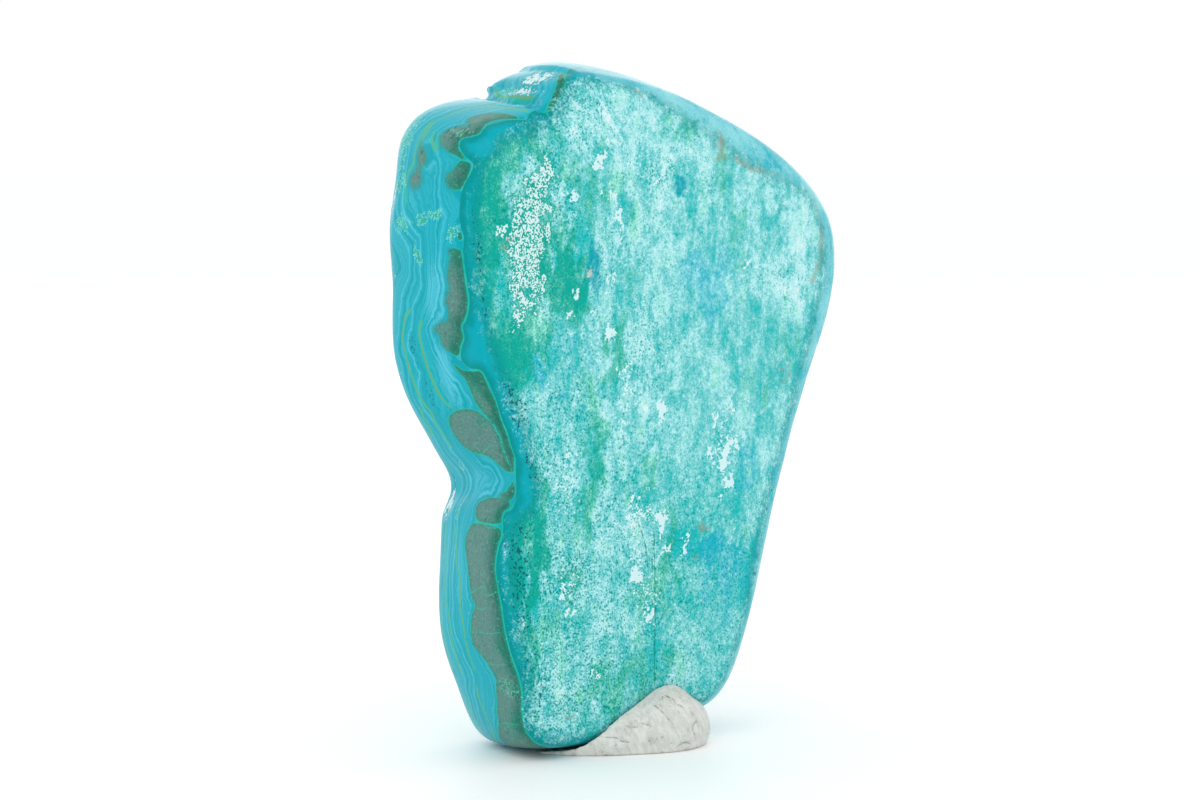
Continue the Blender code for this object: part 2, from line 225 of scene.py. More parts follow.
# Places where the bands of the edge are palest, and a painted highlight on the knob.
SKY_PATCHES = {
    "beside the upper band": (48.5, -3.6, 4.6, 2.2, -14, 0.7),
    "below the upper band": (60.4, -2.9, 5.0, 1.7, -8, 0.8),
    "beside the lower band": (90.0, 0.6, 6.0, 2.0, 0, 0.4),
    "saddle": (78.0, -1.0, 3.0, 4.0, 0, 0.5),
    "shoulder": (36.0, 3.0, 4.0, 3.0, 0, 0.3),
    # Painted highlight: the knob's facets on the rim made pale.
    "knob": (25.6, -13.2, 3.0, 2.2, 0, 0.5),
    "far side": (180.0, -4.6, 14.0, 1.6, 0, 0.6),
    "foot": (128.0, 3.0, 8.0, 4.0, 0, 0.4),
}
# Grainy white crust on the edge, where the surface is also nicked.
SIDE_CRUST = {
    "crown upper": (6.8, -3.0, 2.2, 4.4, 12, 0.9),
    "crown lower": (10.0, -2.0, 0.8, 5.4, 0, 0.66),
    "step": (12.4, -2.6, 0.8, 6.2, 0, 1.05),
    "outer rim": (36.0, 8.2, 2.2, 1.2, 0, 0.6),
    "saddle ledge": (81.4, 9.4, 2.3, 1.8, 0, 0.9),
    "back shoulder": (262.0, 7.0, 7.0, 3.0, 0, 0.5),
}
# Lacy green and white scribbles on the edge.
LACE_PATCHES = {
    "crown foot": (9.8, 3.4, 1.6, 3.6, 0, 0.7),
    "step": (14.0, 1.0, 1.0, 5.0, 0, 0.5),
    "shoulder flecks": (26.6, 6.4, 5.0, 2.2, -12, 0.8),
    "shoulder foot": (33.4, 5.8, 1.6, 1.8, 0, 0.8),
    "upper scribble left": (38.4, -1.0, 1.1, 1.5, 0, 0.9),
    "upper scribble right": (37.4, -4.4, 1.1, 1.9, 0, 0.85),
    "outer scribble": (39.0, 4.0, 1.6, 2.2, 0, 0.75),
    "lower scribble": (43.4, -0.2, 1.7, 1.0, 50, 0.9),
    "spot halo": (40.0, -8.6, 1.4, 1.5, 0, 0.8),
    "outer spot": (46.4, 7.2, 1.2, 0.8, 0, 0.6),
    "saddle ring": (82.7, 3.8, 1.3, 1.1, 0, 0.8),
    "saddle flecks": (75.0, 3.4, 1.6, 1.0, 0, 0.5),
    "back shoulder": (250.0, 8.0, 8.0, 2.0, 0, 0.6),
}
# Grainy white crust on the front face.
CRUST_PATCHES = {
    "head": (-21.0, 82.6, 2.3, 3.8, 24, 0.9),
    "heart": (-23.8, 77.4, 3.8, 4.0, 14, 1.0),
    "waist": (-23.6, 71.6, 3.7, 3.4, -4, 1.0),
    "lower part": (-24.2, 66.6, 3.3, 3.6, -8, 0.95),
    "tail": (-26.0, 61.8, 1.3, 2.0, 0, 0.7),
    "ear": (-28.4, 75.2, 1.4, 1.4, 0, 0.9),
    "right side": (-17.6, 78.2, 2.4, 4.0, 10, 0.5),
    "brush strokes": (-14.6, 91.0, 4.6, 4.8, -32, 0.34),
    "upper right cloud": (4.4, 86.8, 3.6, 2.2, -20, 0.3),
    "round the oval spot": (-0.6, 83.0, 3.0, 2.8, 0, 0.42),
    "beside the ochre": (8.0, 82.0, 1.8, 3.8, -8, 0.4),
    "right cloud left": (17.2, 67.6, 3.6, 2.2, 0, 0.36),
    "right cloud right": (23.2, 66.4, 2.8, 3.8, -10, 0.4),
    "middle grains": (-2.6, 57.6, 4.0, 6.2, 0, 0.36),
    "drips": (11.0, 45.0, 2.4, 5.4, 0, 0.34),
    "lower crust": (-16.6, 26.0, 3.7, 3.0, 0, 0.72),
    "left middle": (-21.6, 40.6, 2.8, 4.6, 0, 0.3),
    "left low": (-20.6, 34.2, 1.6, 1.4, 0, 0.45),
    "middle left": (-16.0, 51.0, 3.6, 3.2, 0, 0.34),
    "foot": (-13.0, 12.6, 2.4, 2.2, -30, 0.45),
    "low left": (-20.0, 15.0, 1.6, 3.0, 0, 0.3),
    "low middle": (-9.6, 16.0, 2.0, 2.6, 0, 0.3),
}
# Solid bits of chalky white.
CHALK_PATCHES = {
    "crust ear": (-28.0, 75.0, 0.9, 1.2, 20, 0.6),
    "crust foot": (-26.2, 65.0, 1.3, 1.7, 0, 0.55),
    "left streak": (-11.2, 84.8, 0.5, 2.7, 12, 0.85),
    "left streak foot": (-9.8, 80.2, 0.5, 1.4, -20, 0.9),
    "long streak": (-8.0, 76.6, 0.5, 3.0, -14, 1.0),
    "second streak": (-10.9, 79.6, 0.4, 1.6, -14, 0.9),
    "inner streak": (-16.2, 80.0, 0.45, 2.0, -24, 0.8),
    "short streak": (-9.8, 67.8, 0.55, 2.4, 6, 0.85),
    "bright lens": (-9.8, 60.6, 0.6, 1.5, 0, 1.0),
    "small bit 1": (-15.4, 66.4, 0.6, 0.6, 0, 1.0),
    "small bit 2": (-16.4, 63.9, 0.7, 0.45, 0, 1.0),
    "small bit 3": (-12.9, 63.2, 0.35, 0.9, 0, 0.9),
    "small bit 4": (-13.4, 68.8, 0.35, 0.7, 0, 0.9),
    "bright drop": (-0.4, 49.2, 0.95, 1.4, 0, 1.15),
    "drip head": (12.4, 48.8, 0.9, 1.2, 20, 0.8),
    "drip neck": (9.2, 47.6, 0.4, 1.8, 0, 0.85),
    "drip joint": (12.9, 44.0, 0.7, 1.0, -10, 1.0),
    "drip left": (8.4, 41.9, 0.75, 1.0, 0, 1.0),
    "drip right": (11.3, 41.4, 0.45, 2.2, 8, 1.0),
    "drip foot": (10.2, 36.0, 0.35, 1.3, 0, 1.0),
    "hook": (12.0, 37.8, 0.75, 0.35, 0, 1.0),
    "pair left": (-0.5, 33.6, 0.85, 0.9, 0, 1.05),
    "pair left stem": (-0.6, 31.2, 0.45, 1.6, 4, 1.0),
    "pair left foot": (0.4, 29.2, 0.75, 0.7, -10, 1.05),
    "pair right": (3.4, 28.6, 0.7, 1.3, 28, 1.1),
    "pair right top": (4.3, 30.8, 0.45, 0.7, 20, 0.9),
    "dot high": (-4.7, 40.4, 0.45, 0.5, 0, 1.1),
    "dot middle": (-4.7, 36.8, 0.45, 0.4, 0, 1.1),
    "dot right": (-2.6, 37.8, 0.3, 0.4, 0, 0.9),
    "dot low": (-4.8, 25.2, 0.45, 0.6, 0, 0.95),
    "dot lowest": (-2.4, 20.2, 0.35, 0.35, 0, 0.9),
    "left hook": (-6.2, 34.6, 0.35, 1.7, -12, 0.85),
    "lower bright": (-17.4, 24.4, 1.1, 0.9, -20, 1.0),
    "lower bright right": (-14.9, 23.3, 0.6, 0.6, 0, 1.0),
    "lower bright foot": (-16.5, 21.2, 0.8, 0.6, 0, 0.95),
    "left middle spot": (-16.6, 43.8, 0.8, 0.7, 0, 0.9),
    "foot spot": (-11.8, 12.2, 0.6, 0.8, -20, 0.95),
    "top right bit": (0.6, 85.4, 1.0, 0.5, 20, 0.8),
    "left of the oval": (-1.0, 81.8, 0.4, 1.0, 0, 0.8),
    "right cloud bit": (14.6, 69.8, 0.4, 1.2, 14, 0.8),
    "right cloud bit low": (16.2, 67.4, 0.5, 0.5, 0, 0.8),
    "under the right cloud": (15.2, 61.2, 0.3, 0.9, 0, 0.7),
    "right low bit": (16.6, 47.6, 0.4, 0.6, 0, 0.9),
    "chips above the pair": (-3.0, 34.6, 2.6, 2.2, 20, 0.42),
    "chips left of the pair": (-5.4, 30.6, 1.6, 6.0, 0, 0.52),
    "chips under the pair": (-2.8, 21.6, 3.0, 6.0, 0, 0.5),
    "chips in the middle": (-7.4, 52.0, 2.4, 7.0, 6, 0.46),
    "chips by the streak": (-17.6, 39.0, 2.6, 5.0, 0, 0.46),
    "chips in the drips": (10.8, 43.6, 2.6, 5.6, 4, 0.46),
    "chips at the top": (-8.8, 86.8, 3.6, 2.6, -30, 0.46),
}
# Slanting strokes of pale grain at the top of the face.
BRUSH_PATCHES = {
    "brush": (-14.0, 90.6, 5.6, 5.2, -30, 1.0),
    "brush foot": (-8.6, 85.4, 4.4, 4.6, -30, 0.8),
    "brush right": (-2.6, 88.6, 4.0, 4.0, -30, 0.5),
}
# Places where the ground is a little deeper than the rest.
LOW_PATCHES = {
    "left low": (-20.0, 34.0, 5.0, 12.0, 0, 1.8),
    "left": (-19.0, 52.0, 5.0, 7.0, 0, 0.9),
    "right low": (10.0, 26.0, 8.0, 13.0, 0, 1.7),
    "drips": (12.0, 44.0, 4.0, 8.0, 0, 0.6),
    "foot": (-4.0, 9.0, 12.0, 6.0, 0, 0.3),
}
# Places where the ground turns soft and pale.
PALE_PATCHES = {
    "upper cloud": (-3.4, 90.0, 6.4, 3.6, 10, 0.5),
    "upper right cloud": (5.0, 87.4, 4.8, 3.0, -20, 0.5),
    "round the oval spot": (-0.4, 83.0, 3.4, 3.2, 0, 0.5),
    "beside the ochre": (8.2, 81.0, 2.0, 4.6, -8, 0.5),
    "right shoulder": (19.6, 81.6, 5.0, 3.4, -20, 0.5),
    "right edge": (25.0, 75.0, 2.8, 5.4, 0, 0.6),
    "right cloud left": (17.2, 67.6, 4.6, 2.8, 0, 0.8),
    "right cloud right": (23.4, 66.4, 3.4, 4.6, -10, 0.85),
    "middle cloud": (-3.6, 74.0, 4.0, 3.2, 0, 0.5),
    "beside the dark streak": (-9.8, 72.0, 1.4, 6.4, 0, 0.45),
    "long streak": (-7.8, 77.2, 1.4, 4.0, -14, 0.5),
    "middle left": (-15.6, 51.0, 4.6, 4.4, 0, 0.8),
    "middle grains": (-2.4, 56.0, 4.6, 8.0, 0, 0.35),
    "bright drop": (-0.4, 48.9, 1.6, 2.2, 0, 0.6),
    "under the drop": (2.0, 43.6, 3.4, 2.6, 0, 0.4),
    "left middle": (-19.6, 41.0, 3.6, 5.4, 0, 1.1),
    "drips": (11.0, 44.6, 2.8, 5.8, 0, 0.55),
    "right of the drips": (18.0, 44.4, 2.0, 5.6, 0, 0.35),
    "right low": (14.4, 31.4, 3.4, 3.0, 0, 0.35),
    "lower crust": (-16.6, 26.0, 4.2, 3.6, 0, 0.9),
    "low right": (10.6, 20.0, 4.0, 6.0, 0, 0.25),
    "foot left": (-19.0, 14.0, 2.4, 5.0, 0, 0.3),
    "foot middle": (-14.0, 13.0, 3.0, 4.0, 0, 0.25),
}
# Clouds of green, malachite-rich ground.
GREEN_PATCHES = {
    "upper left": (-30.2, 81.6, 3.6, 8.0, 0, 0.9),
    "beside the crust": (-30.6, 70.0, 3.0, 9.0, 0, 0.9),
    "below the crust": (-26.4, 58.0, 5.4, 4.4, -20, 1.3),
    "right of the crust": (-18.0, 67.4, 3.2, 6.4, 0, 1.15),
    "above the crust": (-22.6, 86.6, 5.4, 2.6, 12, 0.75),
    "yellowish": (-16.0, 71.6, 2.8, 4.6, 0, 0.6),
    "below the brush": (-13.6, 81.0, 3.6, 5.0, 0, 0.6),
    "long streak": (-13.2, 39.4, 1.5, 9.0, 4, 0.85),
    "streak head": (-14.6, 50.0, 2.0, 5.0, 12, 0.5),
    "beside the low rim": (-23.4, 31.0, 2.6, 10.0, 0, 1.2),
    "low left": (-23.4, 17.0, 1.8, 8.0, 0, 0.7),
    "foot": (-9.6, 9.4, 4.4, 3.4, 20, 0.6),
    "foot right": (-2.0, 12.0, 4.0, 4.0, 0, 0.6),
    "ochre patch": (10.6, 81.6, 2.6, 4.2, 0, 0.5),
    "ochre patch low": (12.8, 74.0, 2.4, 3.8, 0, 0.4),
    "ochre patch foot": (14.4, 66.4, 1.4, 3.8, 0, 0.35),
    "top rim": (3.8, 89.6, 3.8, 1.4, -16, 0.6),
    "upper streak": (-6.8, 79.4, 1.8, 4.6, -10, 0.5),
    "middle": (-5.2, 68.4, 2.4, 2.6, 0, 0.55),
    "middle streak": (-8.8, 57.6, 2.0, 6.0, 10, 0.7),
    "right edge": (22.6, 57.6, 2.8, 3.8, 0, 0.45),
    "right low": (18.4, 52.0, 4.6, 2.2, 0, 0.4),
    "dots ground": (-3.6, 38.6, 3.0, 3.4, 20, 0.55),
    "pair ground": (1.8, 29.6, 2.6, 4.4, 0, 0.7),
    "low middle": (-2.0, 23.0, 4.0, 4.6, 0, 0.5),
    "lower left ground": (-17.4, 18.0, 5.0, 5.0, 0, 0.4),
}
# Clouds of blue ground, and one band of painted shade along the foot.
BLUE_PATCHES = {
    "cloud": (6.2, 68.8, 4.2, 4.4, -20, 1.05),
    "cloud low": (9.0, 64.0, 3.4, 3.6, 0, 0.65),
    "cloud left": (2.4, 61.0, 2.4, 3.4, 0, 0.4),
    "below the green": (-16.4, 56.6, 4.4, 4.0, 0, 0.6),
    "slanting line": (-20.6, 54.8, 0.7, 4.2, -34, 0.9),
    "right of the drips": (14.6, 39.6, 1.6, 4.0, 10, 0.7),
    "under the drips": (7.4, 28.8, 2.2, 2.4, 20, 1.1),
    "right low": (12.0, 24.0, 4.6, 7.6, 0, 0.75),
    "middle": (4.8, 44.6, 3.2, 3.0, 0, 0.35),
    # Painted shade: a darker blue band along the bottom of the face, just above the floor.
    "foot shade": (-17.0, 4.0, 4.0, 1.0, 0, 0.8),
}
# Small dark blue windows of clear chrysocolla in the faces.
WINDOW_PATCHES = {
    "dark streak": (-12.2, 69.4, 1.1, 3.4, -4, 1.8),
    "oval spot": (2.7, 81.2, 1.0, 1.5, 6, 1.6),
    "round spot": (21.2, 77.9, 0.9, 1.0, 0, 1.4),
    "small shade": (-10.4, 44.0, 0.9, 1.5, 0, 0.7),
    "top rim spot": (0.6, 93.2, 1.7, 1.0, -24, 1.0),
    "top right rim spot": (16.6, 85.0, 1.6, 1.2, -30, 1.0),
}
# Finely hatched places in the agate patches, in the rim chart.
HATCH_PATCHES = {
    "crown strip": (10.6, -11.2, 1.6, 1.2, 0, 1.0),
    "hatched patch": (24.8, -7.4, 1.8, 3.0, 0, 1.0),
    "side patch": (31.0, 0.4, 3.6, 2.4, 0, 0.5),
    "lower band": (107.2, -8.0, 2.2, 3.0, 0, 1.0),
    "lower band foot": (113.4, -6.0, 1.4, 3.4, 0, 0.6),
}
# Brown stains on the front face.
STAIN_PATCHES = {
    "crust stain": (-26.8, 73.6, 1.9, 0.8, -34, 0.75),
    "ochre patch": (11.0, 84.4, 1.5, 1.8, 0, 0.6),
    "rim mark": (10.2, 87.4, 0.9, 1.3, 0, 1.2),
    "rim mark left": (4.6, 92.2, 0.8, 0.5, 0, 1.2),
    "beside the dark streak": (-13.5, 68.6, 0.7, 2.4, 0, 0.8),
    "spot by the pair": (7.0, 31.8, 1.0, 0.9, 0, 1.3),
    "spot under the pair": (6.0, 27.0, 0.9, 0.5, 0, 1.1),
    "drips stain": (11.6, 48.0, 0.7, 0.5, 0, 0.9),
    "foot dot": (-6.4, 9.8, 0.6, 0.5, 0, 1.1),
    "foot dots": (-16.2, 6.6, 0.8, 0.6, 0, 0.9),
    "right edge": (24.2, 47.0, 0.8, 2.6, 0, 0.9),
    "right edge high": (21.6, 53.6, 1.6, 2.6, 10, 0.7),
}
# A wavy brown line inside the blue rim along the top and the plain side, as (along, across) courses.
RIM_WAVE = (
    ((274.4, -12.2), (272.9, -12.6), (271.6, -14.2)),
    ((267.6, -10.8), (267.0, -13.1), (265.3, -13.9), (263.6, -13.2)),
    ((262.0, -12.7), (260.2, -13.4), (258.0, -13.4), (256.1, -14.0), (254.7, -15.6), (254.6, -17.2),
     (254.8, -18.6)),
    ((251.4, -17.2), (247.7, -17.2), (245.0, -16.2), (242.3, -14.9), (239.1, -13.1), (235.9, -12.2)),
    ((233.2, -13.6), (225.4, -16.3), (220.8, -17.1), (216.4, -18.3)),
)
# Dark manganese specks, most of them just inside the rim, as rim chart patches.
SPECK_PATCHES = {
    "below the drop": (37.0, -13.0, 1.4, 0.8, 0, 0.7),
    "upper rim": (41.6, -13.8, 3.0, 1.0, 0, 0.9),
    "middle rim": (50.6, -14.0, 6.0, 0.7, 0, 0.7),
    "cluster": (66.4, -15.2, 5.4, 2.0, 0, 1.0),
    "saddle rim": (76.0, -13.6, 2.4, 1.1, 0, 1.0),
    "low cluster": (86.4, -13.2, 5.4, 2.2, 0, 1.0),
    "low rim": (95.6, -13.6, 5.0, 2.0, 0, 0.9),
    "lowest rim": (106.6, -13.8, 5.6, 2.2, 0, 0.8),
    "far side": (180.0, -13.6, 14.0, 1.0, 0, 0.6),
    "between the growth lines": (56.6, 2.8, 3.4, 0.9, 0, 0.75),
    "under the growth lines": (63.0, 2.0, 2.4, 0.9, 0, 0.75),
}
# The same patches by the name of the mark that they make, and then the lines and the distances.
EDGE_TABLES = {
    "sky": SKY_PATCHES,
    "side_crust": SIDE_CRUST,
    "lace": LACE_PATCHES,
    "hatch": HATCH_PATCHES,
    "specks": SPECK_PATCHES,
}
CLOUD_TABLES = {
    "brush": BRUSH_PATCHES,
    "pale": PALE_PATCHES,
    "low": LOW_PATCHES,
    "green": GREEN_PATCHES,
    "blue": BLUE_PATCHES,
}
BIT_TABLES = {
    "crust": CRUST_PATCHES,
    "chalk": CHALK_PATCHES,
    "stain": STAIN_PATCHES,
    "window": WINDOW_PATCHES,
}
EDGE_LINES = {"ochre": OCHRE_LINES, "crack": CRACKS, "wave": RIM_WAVE}
LINE_MARKS = (*EDGE_LINES, "scratch")
DISTANCES = ("agate", "seam", "into_face")
# Stretches of the rim, as name: (places along it), (strength there). On the bare one the green seam fades
# out, the banded one shows the bands, and on the hazy one the agate melts into them, away from the seam.
STRETCHES = {
    "bare": ((33.6, 35.0, 38.8, 40.0), (0.0, 1.0, 1.0, 0.0)),
    "banded": ((0.0, 7.0, 122.0, 134.0, 266.0, 279.0), (0.5, 1.0, 1.0, 0.1, 0.1, 0.5)),
    "hazy": ((14.0, 24.0, 56.0, 62.0), (0.0, 1.0, 1.0, 0.0)),
}
# How the face patches are frayed, as (size of the wandering in X, Y and Z, how far it reaches), and the
# wandering's seed and number of octaves.
CLOUD_WANDER = ((2.4, 2.4, 6.0), 3.6)
BIT_WANDER = ((1.0, 1.0, 2.4), 1.3)
WANDER_SEED = 3
WANDER_OCTAVES = 4
# The back face carries the front's patches mirrored and moved by this much.
BACK_SHIFT = (-4.0, -5.0)
# Past this distance from a thin line the distance counts twenty times, and NO_LINE stands for none near.
LINE_REACH = 0.9
PAST_REACH = 20
NO_LINE = 1e3
# How far into and away from the agate patches and the seam the distance is measured.
AGATE_REACH = 16.0
# Where the seam ends under the foot, and where the clear rim gives way to the back face.
SEAM_FOOT = 128.0
BACK_RIM = 12.6
# How far apart the points of the slab's outline are, how many spots are measured at a time, how finely
# weights are stepped, and how many times its half width away from its middle a soft patch ends.
OUTLINE_STEP = 0.8
BATCH = 8000
WEIGHT_STEPS = 20
PATCH_END = 1.5
# The putty's foot keeps its shape up to this height. The cracks in its front are in X and Z.
PUTTY_FOOT = 0.2
CRACK_HALF_WIDTH = 0.4
PUTTY_CRACKS = (
    ((-1.2, 8.3), (-0.5, 7.8), (-0.3, 7.2), (0.5, 6.6)),
    ((-3.3, 6.9), (-2.7, 6.0), (-2.0, 4.9)),
    ((-10.6, 2.9), (-9.6, 2.8), (-9.0, 2.3), (-8.0, 2.0)),
    ((2.2, 4.1), (1.7, 3.4), (2.1, 2.5)),
    ((-0.2, 0.9), (0.6, 1.2), (1.6, 1.0)),
    ((-5.6, 4.6), (-5.1, 4.4)),
    ((-7.6, 4.3), (-6.8, 4.2)),
)
# How many of the edge's growth bands there are to a millimetre, and of the paper's soft clouds to a metre.
BROAD_BANDS = 1.1
THIN_BANDS = 2.9
PAPER_CLOUDS = 30.0
# Noises, as name: (feature size in mm, stretch, lean in degrees, detail, roughness).
NOISES = {
    "grain": (0.29, 1.0, 0, 1.0, 0.5),
    "chips": (0.66, 1.2, 0, 2.0, 0.6),
    "fray": (1.3, 1.0, 0, 3.0, 0.62),
    "mottle": (4.6, 1.3, 4, 5.0, 0.85),
    "cloud": (7.5, 1.0, 0, 2.0, 0.5),
    "drips": (1.8, 4.0, 3, 3.0, 0.6),
    "strokes": (1.0, 6.0, -32, 2.0, 0.6),
    "hatching": (0.34, 4.0, 76, 1.0, 0.5),
    "blots": (0.36, 1.2, 0, 1.0, 0.5),
}
PUTTY_NOISES = {
    "grit": (0.5, 1.0, 0, 2.0, 0.6),
    "mottle": (3.0, 1.0, 0, 4.0, 0.7),
    "wrinkles": (0.55, 5.0, -24, 2.0, 0.6),
}


def linear(code, alpha=1.0):
    """An sRGB hex colour as the linear values that shaders use."""
    channels = [int(code[i:i + 2], 16) / 255 for i in (1, 3, 5)]
    return tuple(c / 12.92 if c <= 0.04045 else ((c + 0.055) / 1.055) ** 2.4 for c in channels) + (alpha,)


def tint(name, code, description):
    """A colour property with an sRGB hex default."""
    return bpy.props.FloatVectorProperty(
        name=name, description=description, subtype="COLOR", size=4, min=0.0, max=1.0, default=linear(code)
    )


def number(name, default, description, **limits):
    """A number property with its limits or its kind."""
    return bpy.props.FloatProperty(name=name, description=description, default=default, **limits)


def length(name, millimetres, description):
    """A length property with its default in millimetres."""
    return number(name, millimetres * MM, description, unit="LENGTH", min=0.0, precision=5)


class StoneSettings(bpy.types.PropertyGroup):
    """Sizes and colours of the polished slab."""

    spacing: length("Mesh spacing", 0.43, "Edge length of the stone's fine mesh")
    ripple: length("Ripple", 0.10, "Height of the slow unevenness that hand polishing leaves")
    ledge: length("Ledge", 0.4, "Depth of the nicks and ledges in the crusted places")
    groove: length("Groove", 1.0, "Depth of the groove under the crown's lip")
    shave: length("Shave", 0.5, "How much the crown is ground down behind its lip")
    turquoise: tint("Turquoise", "#12B4B3", "Ground of the speckled faces")
    pale_turquoise: tint("Pale turquoise", "#ACE4E7", "Quartz-rich ground of the faces")
    green: tint("Green", "#06A494", "Malachite-rich ground of the faces")
    pale_green: tint("Pale green", "#8EE0CC", "Quartz grains over the green ground")
    azure: tint("Azure", "#10ACBC", "Blue copper silicate clouds")
    pale_azure: tint("Pale azure", "#A0E2E6", "Quartz grains over the blue clouds")
    crust: tint("White crust", "#D2EBEC", "Chalky crust")
    brown: tint("Brown", "#86917C", "Brown marks on the faces")
    deep_green: tint("Deep green", "#047F72", "Darkest grains of the faces")
    chalk: tint("Chalk", "#CFEBEE", "Solid chalky bits")
    speck: tint("Speck", "#0B5763", "Manganese specks")
    teal: tint("Teal rim", "#008E90", "Clear rim round the faces")
    rim_blue: tint("Rim blue", "#05A4B2", "Rim where it turns into the face")
    seam: tint("Green seam", "#22C49A", "Thin seam beside the rim and round the agate")
    sky: tint("Sky", "#5CC6DC", "Palest bands of the edge")
    band: tint("Band", "#27AFBF", "Middle bands of the edge")
    deep: tint("Deep band", "#08A0AE", "Darkest bands of the edge")
    agate: tint("Agate", "#5E8A84", "Brown-grey agate")
    olive: tint("Olive", "#2F8C78", "Green-grey agate")
    shade: tint("Dark olive", "#0F6353", "Dark side of the agate patches")
    ochre: tint("Ochre", "#6FA07A", "Thin growth lines")


class PuttySettings(bpy.types.PropertyGroup):
    """Sizes and colours of the putty lump."""

    spacing: length("Mesh spacing", 0.22, "Edge length of the putty's fine mesh")
    knead: length("Kneading", 0.20, "Height of the dents that fingers leave")
    grit: length("Grit", 0.06, "Height of the putty's fine grain")
    crack: length("Crack", 0.25, "Depth of the cracks")
    body: tint("Putty", "#CDCEC8", "Pale grey putty")
    dust: tint("Dusty putty", "#DDDEDA", "Paler rubbed places")
    # Painted shade: this colour is laid in the cracks, the low wrinkles and the pores.
    crease_shade: tint("Crease", "#85837A", "Creases and pores")


class StageSettings(bpy.types.PropertyGroup):
    """Camera, floor and light."""

    azimuth: number("Azimuth", math.radians(-36), "Camera's turn round the specimen", subtype="ANGLE")
    elevation: number("Elevation", math.radians(5), "Camera's height angle", subtype="ANGLE")
    distance: length("Distance", 484, "Camera to the point it looks at")
    target: bpy.props.FloatVectorProperty(
        name="Target", description="Point that the camera and the lamps face", subtype="XYZ", unit="LENGTH",
        default=(-0.0036, 0.0, 0.0499),
    )
    lens: number("Lens", 100.0, "Focal length in mm", min=1.0)
    floor_radius: length("Floor radius", 4000, "Radius of the studio floor")
    tent: number("Tent", 1.02, "Strength of the white light tent", min=0.0)
    key: number("Key", 0.7, "Power of the large lamp overhead, in watts", min=0.0)
    back: number("Back", 3.0, "Power of the white panel behind, in watts", min=0.0)
    paper: tint("Paper", "#FCFEFE", "White paper floor")


# ---- modelling helpers ----

def deselect():
    """Deselects every object."""
    for obj in bpy.context.selected_objects:
        obj.select_set(False)


def refined_copy(node_name, name, spacing, softening, rounding):
    """A merged, finely remeshed and softened copy of a CAD node's mesh, as a new object.

    Rounding is the kind of subdivision: CATMULL_CLARK also rounds the facets off, SIMPLE keeps sharp rims.
    """
    deselect()
    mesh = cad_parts[node_name].data.copy()
    mesh.materials.clear()
    obj = bpy.data.objects.new(name, mesh)
    bpy.context.scene.collection.objects.link(obj)
    bpy.context.view_layer.objects.active = obj
    obj.select_set(True)
    bpy.ops.object.mode_set(mode="EDIT")
    bpy.ops.mesh.select_all(action="SELECT")
    bpy.ops.mesh.remove_doubles(threshold=MERGE_GAP)
    bpy.ops.object.mode_set(mode="OBJECT")
    apply_modifier(obj, "SUBSURF", subdivision_type=rounding, levels=1, render_levels=1)
    apply_modifier(obj, "REMESH", mode="VOXEL", voxel_size=spacing, use_smooth_shade=True)
    apply_modifier(obj, "SMOOTH", factor=0.5, iterations=softening)
    return obj


def apply_modifier(obj, kind, **settings):
    """Adds a modifier to the active object and applies it."""
    modifier = obj.modifiers.new(kind.title(), kind)
    for key, value in settings.items():
        setattr(modifier, key, value)
    bpy.ops.object.modifier_apply(modifier=modifier.name)


def clouds(name, size, depth=2):
    """A procedural clouds texture for Displace modifiers, with its feature size in metres."""
    texture = bpy.data.textures.new(name, "CLOUDS")
    texture.noise_scale = size
    texture.noise_depth = depth
    return texture


def roughen(obj, texture, depth, group=""):
    """Presses the surface in unevenly, by up to the depth, where the vertex group says or all over."""
    apply_modifier(
        obj, "DISPLACE", texture=texture, texture_coords="LOCAL", strength=depth, mid_level=1.0,
        vertex_group=group,
    )


def sink(obj, group, depth):
    """Presses the surface in by the depth, as far as the vertex group's weights go."""
    apply_modifier(obj, "DISPLACE", strength=-depth, mid_level=0.0, vertex_group=group)


def weigh(obj, name, weights):
    """Stores per-vertex weights between 0 and 1 as a vertex group."""
    group = obj.vertex_groups.new(name=name)
    steps = np.clip(np.round(weights * WEIGHT_STEPS) / WEIGHT_STEPS, 0.0, 1.0)
    for value in np.unique(steps):
        if value > 0.0:
            group.add(np.flatnonzero(steps == value).tolist(), float(value), "REPLACE")
    return group.name


def places_mm(obj):
    """Every vertex's place, in millimetres."""
    flat = np.empty(len(obj.data.vertices) * 3)
    obj.data.vertices.foreach_get("co", flat)
    return flat.reshape(-1, 3) / MM


def store(obj, name, values):
    """Stores one number for each vertex as an attribute that materials read."""
    attribute = obj.data.attributes.new(name, "FLOAT", "POINT")
    attribute.data.foreach_set("value", values.astype(np.float32))


# ---- charts and markings ----

def smooth_course(points, closed=False, steps=5):
    """Catmull-Rom curve through given points."""
    points = np.array(points, dtype=float)
    if closed:
        around = np.vstack([points[-1:], points, points[:2]])
    else:
        around = np.vstack([2 * points[0] - points[1], points, 2 * points[-1] - points[-2]])
    course = []
    for before, here, there, after in zip(around, around[1:], around[2:], around[3:]):
        for t in np.arange(steps) / steps:
            cubic = t * (3 * (here - there) + after - before)
            square = t * (2 * before - 5 * here + 4 * there - after + cubic)
            course.append(here + 0.5 * t * (there - before + square))
    course.append(around[-2])
    return np.array(course)


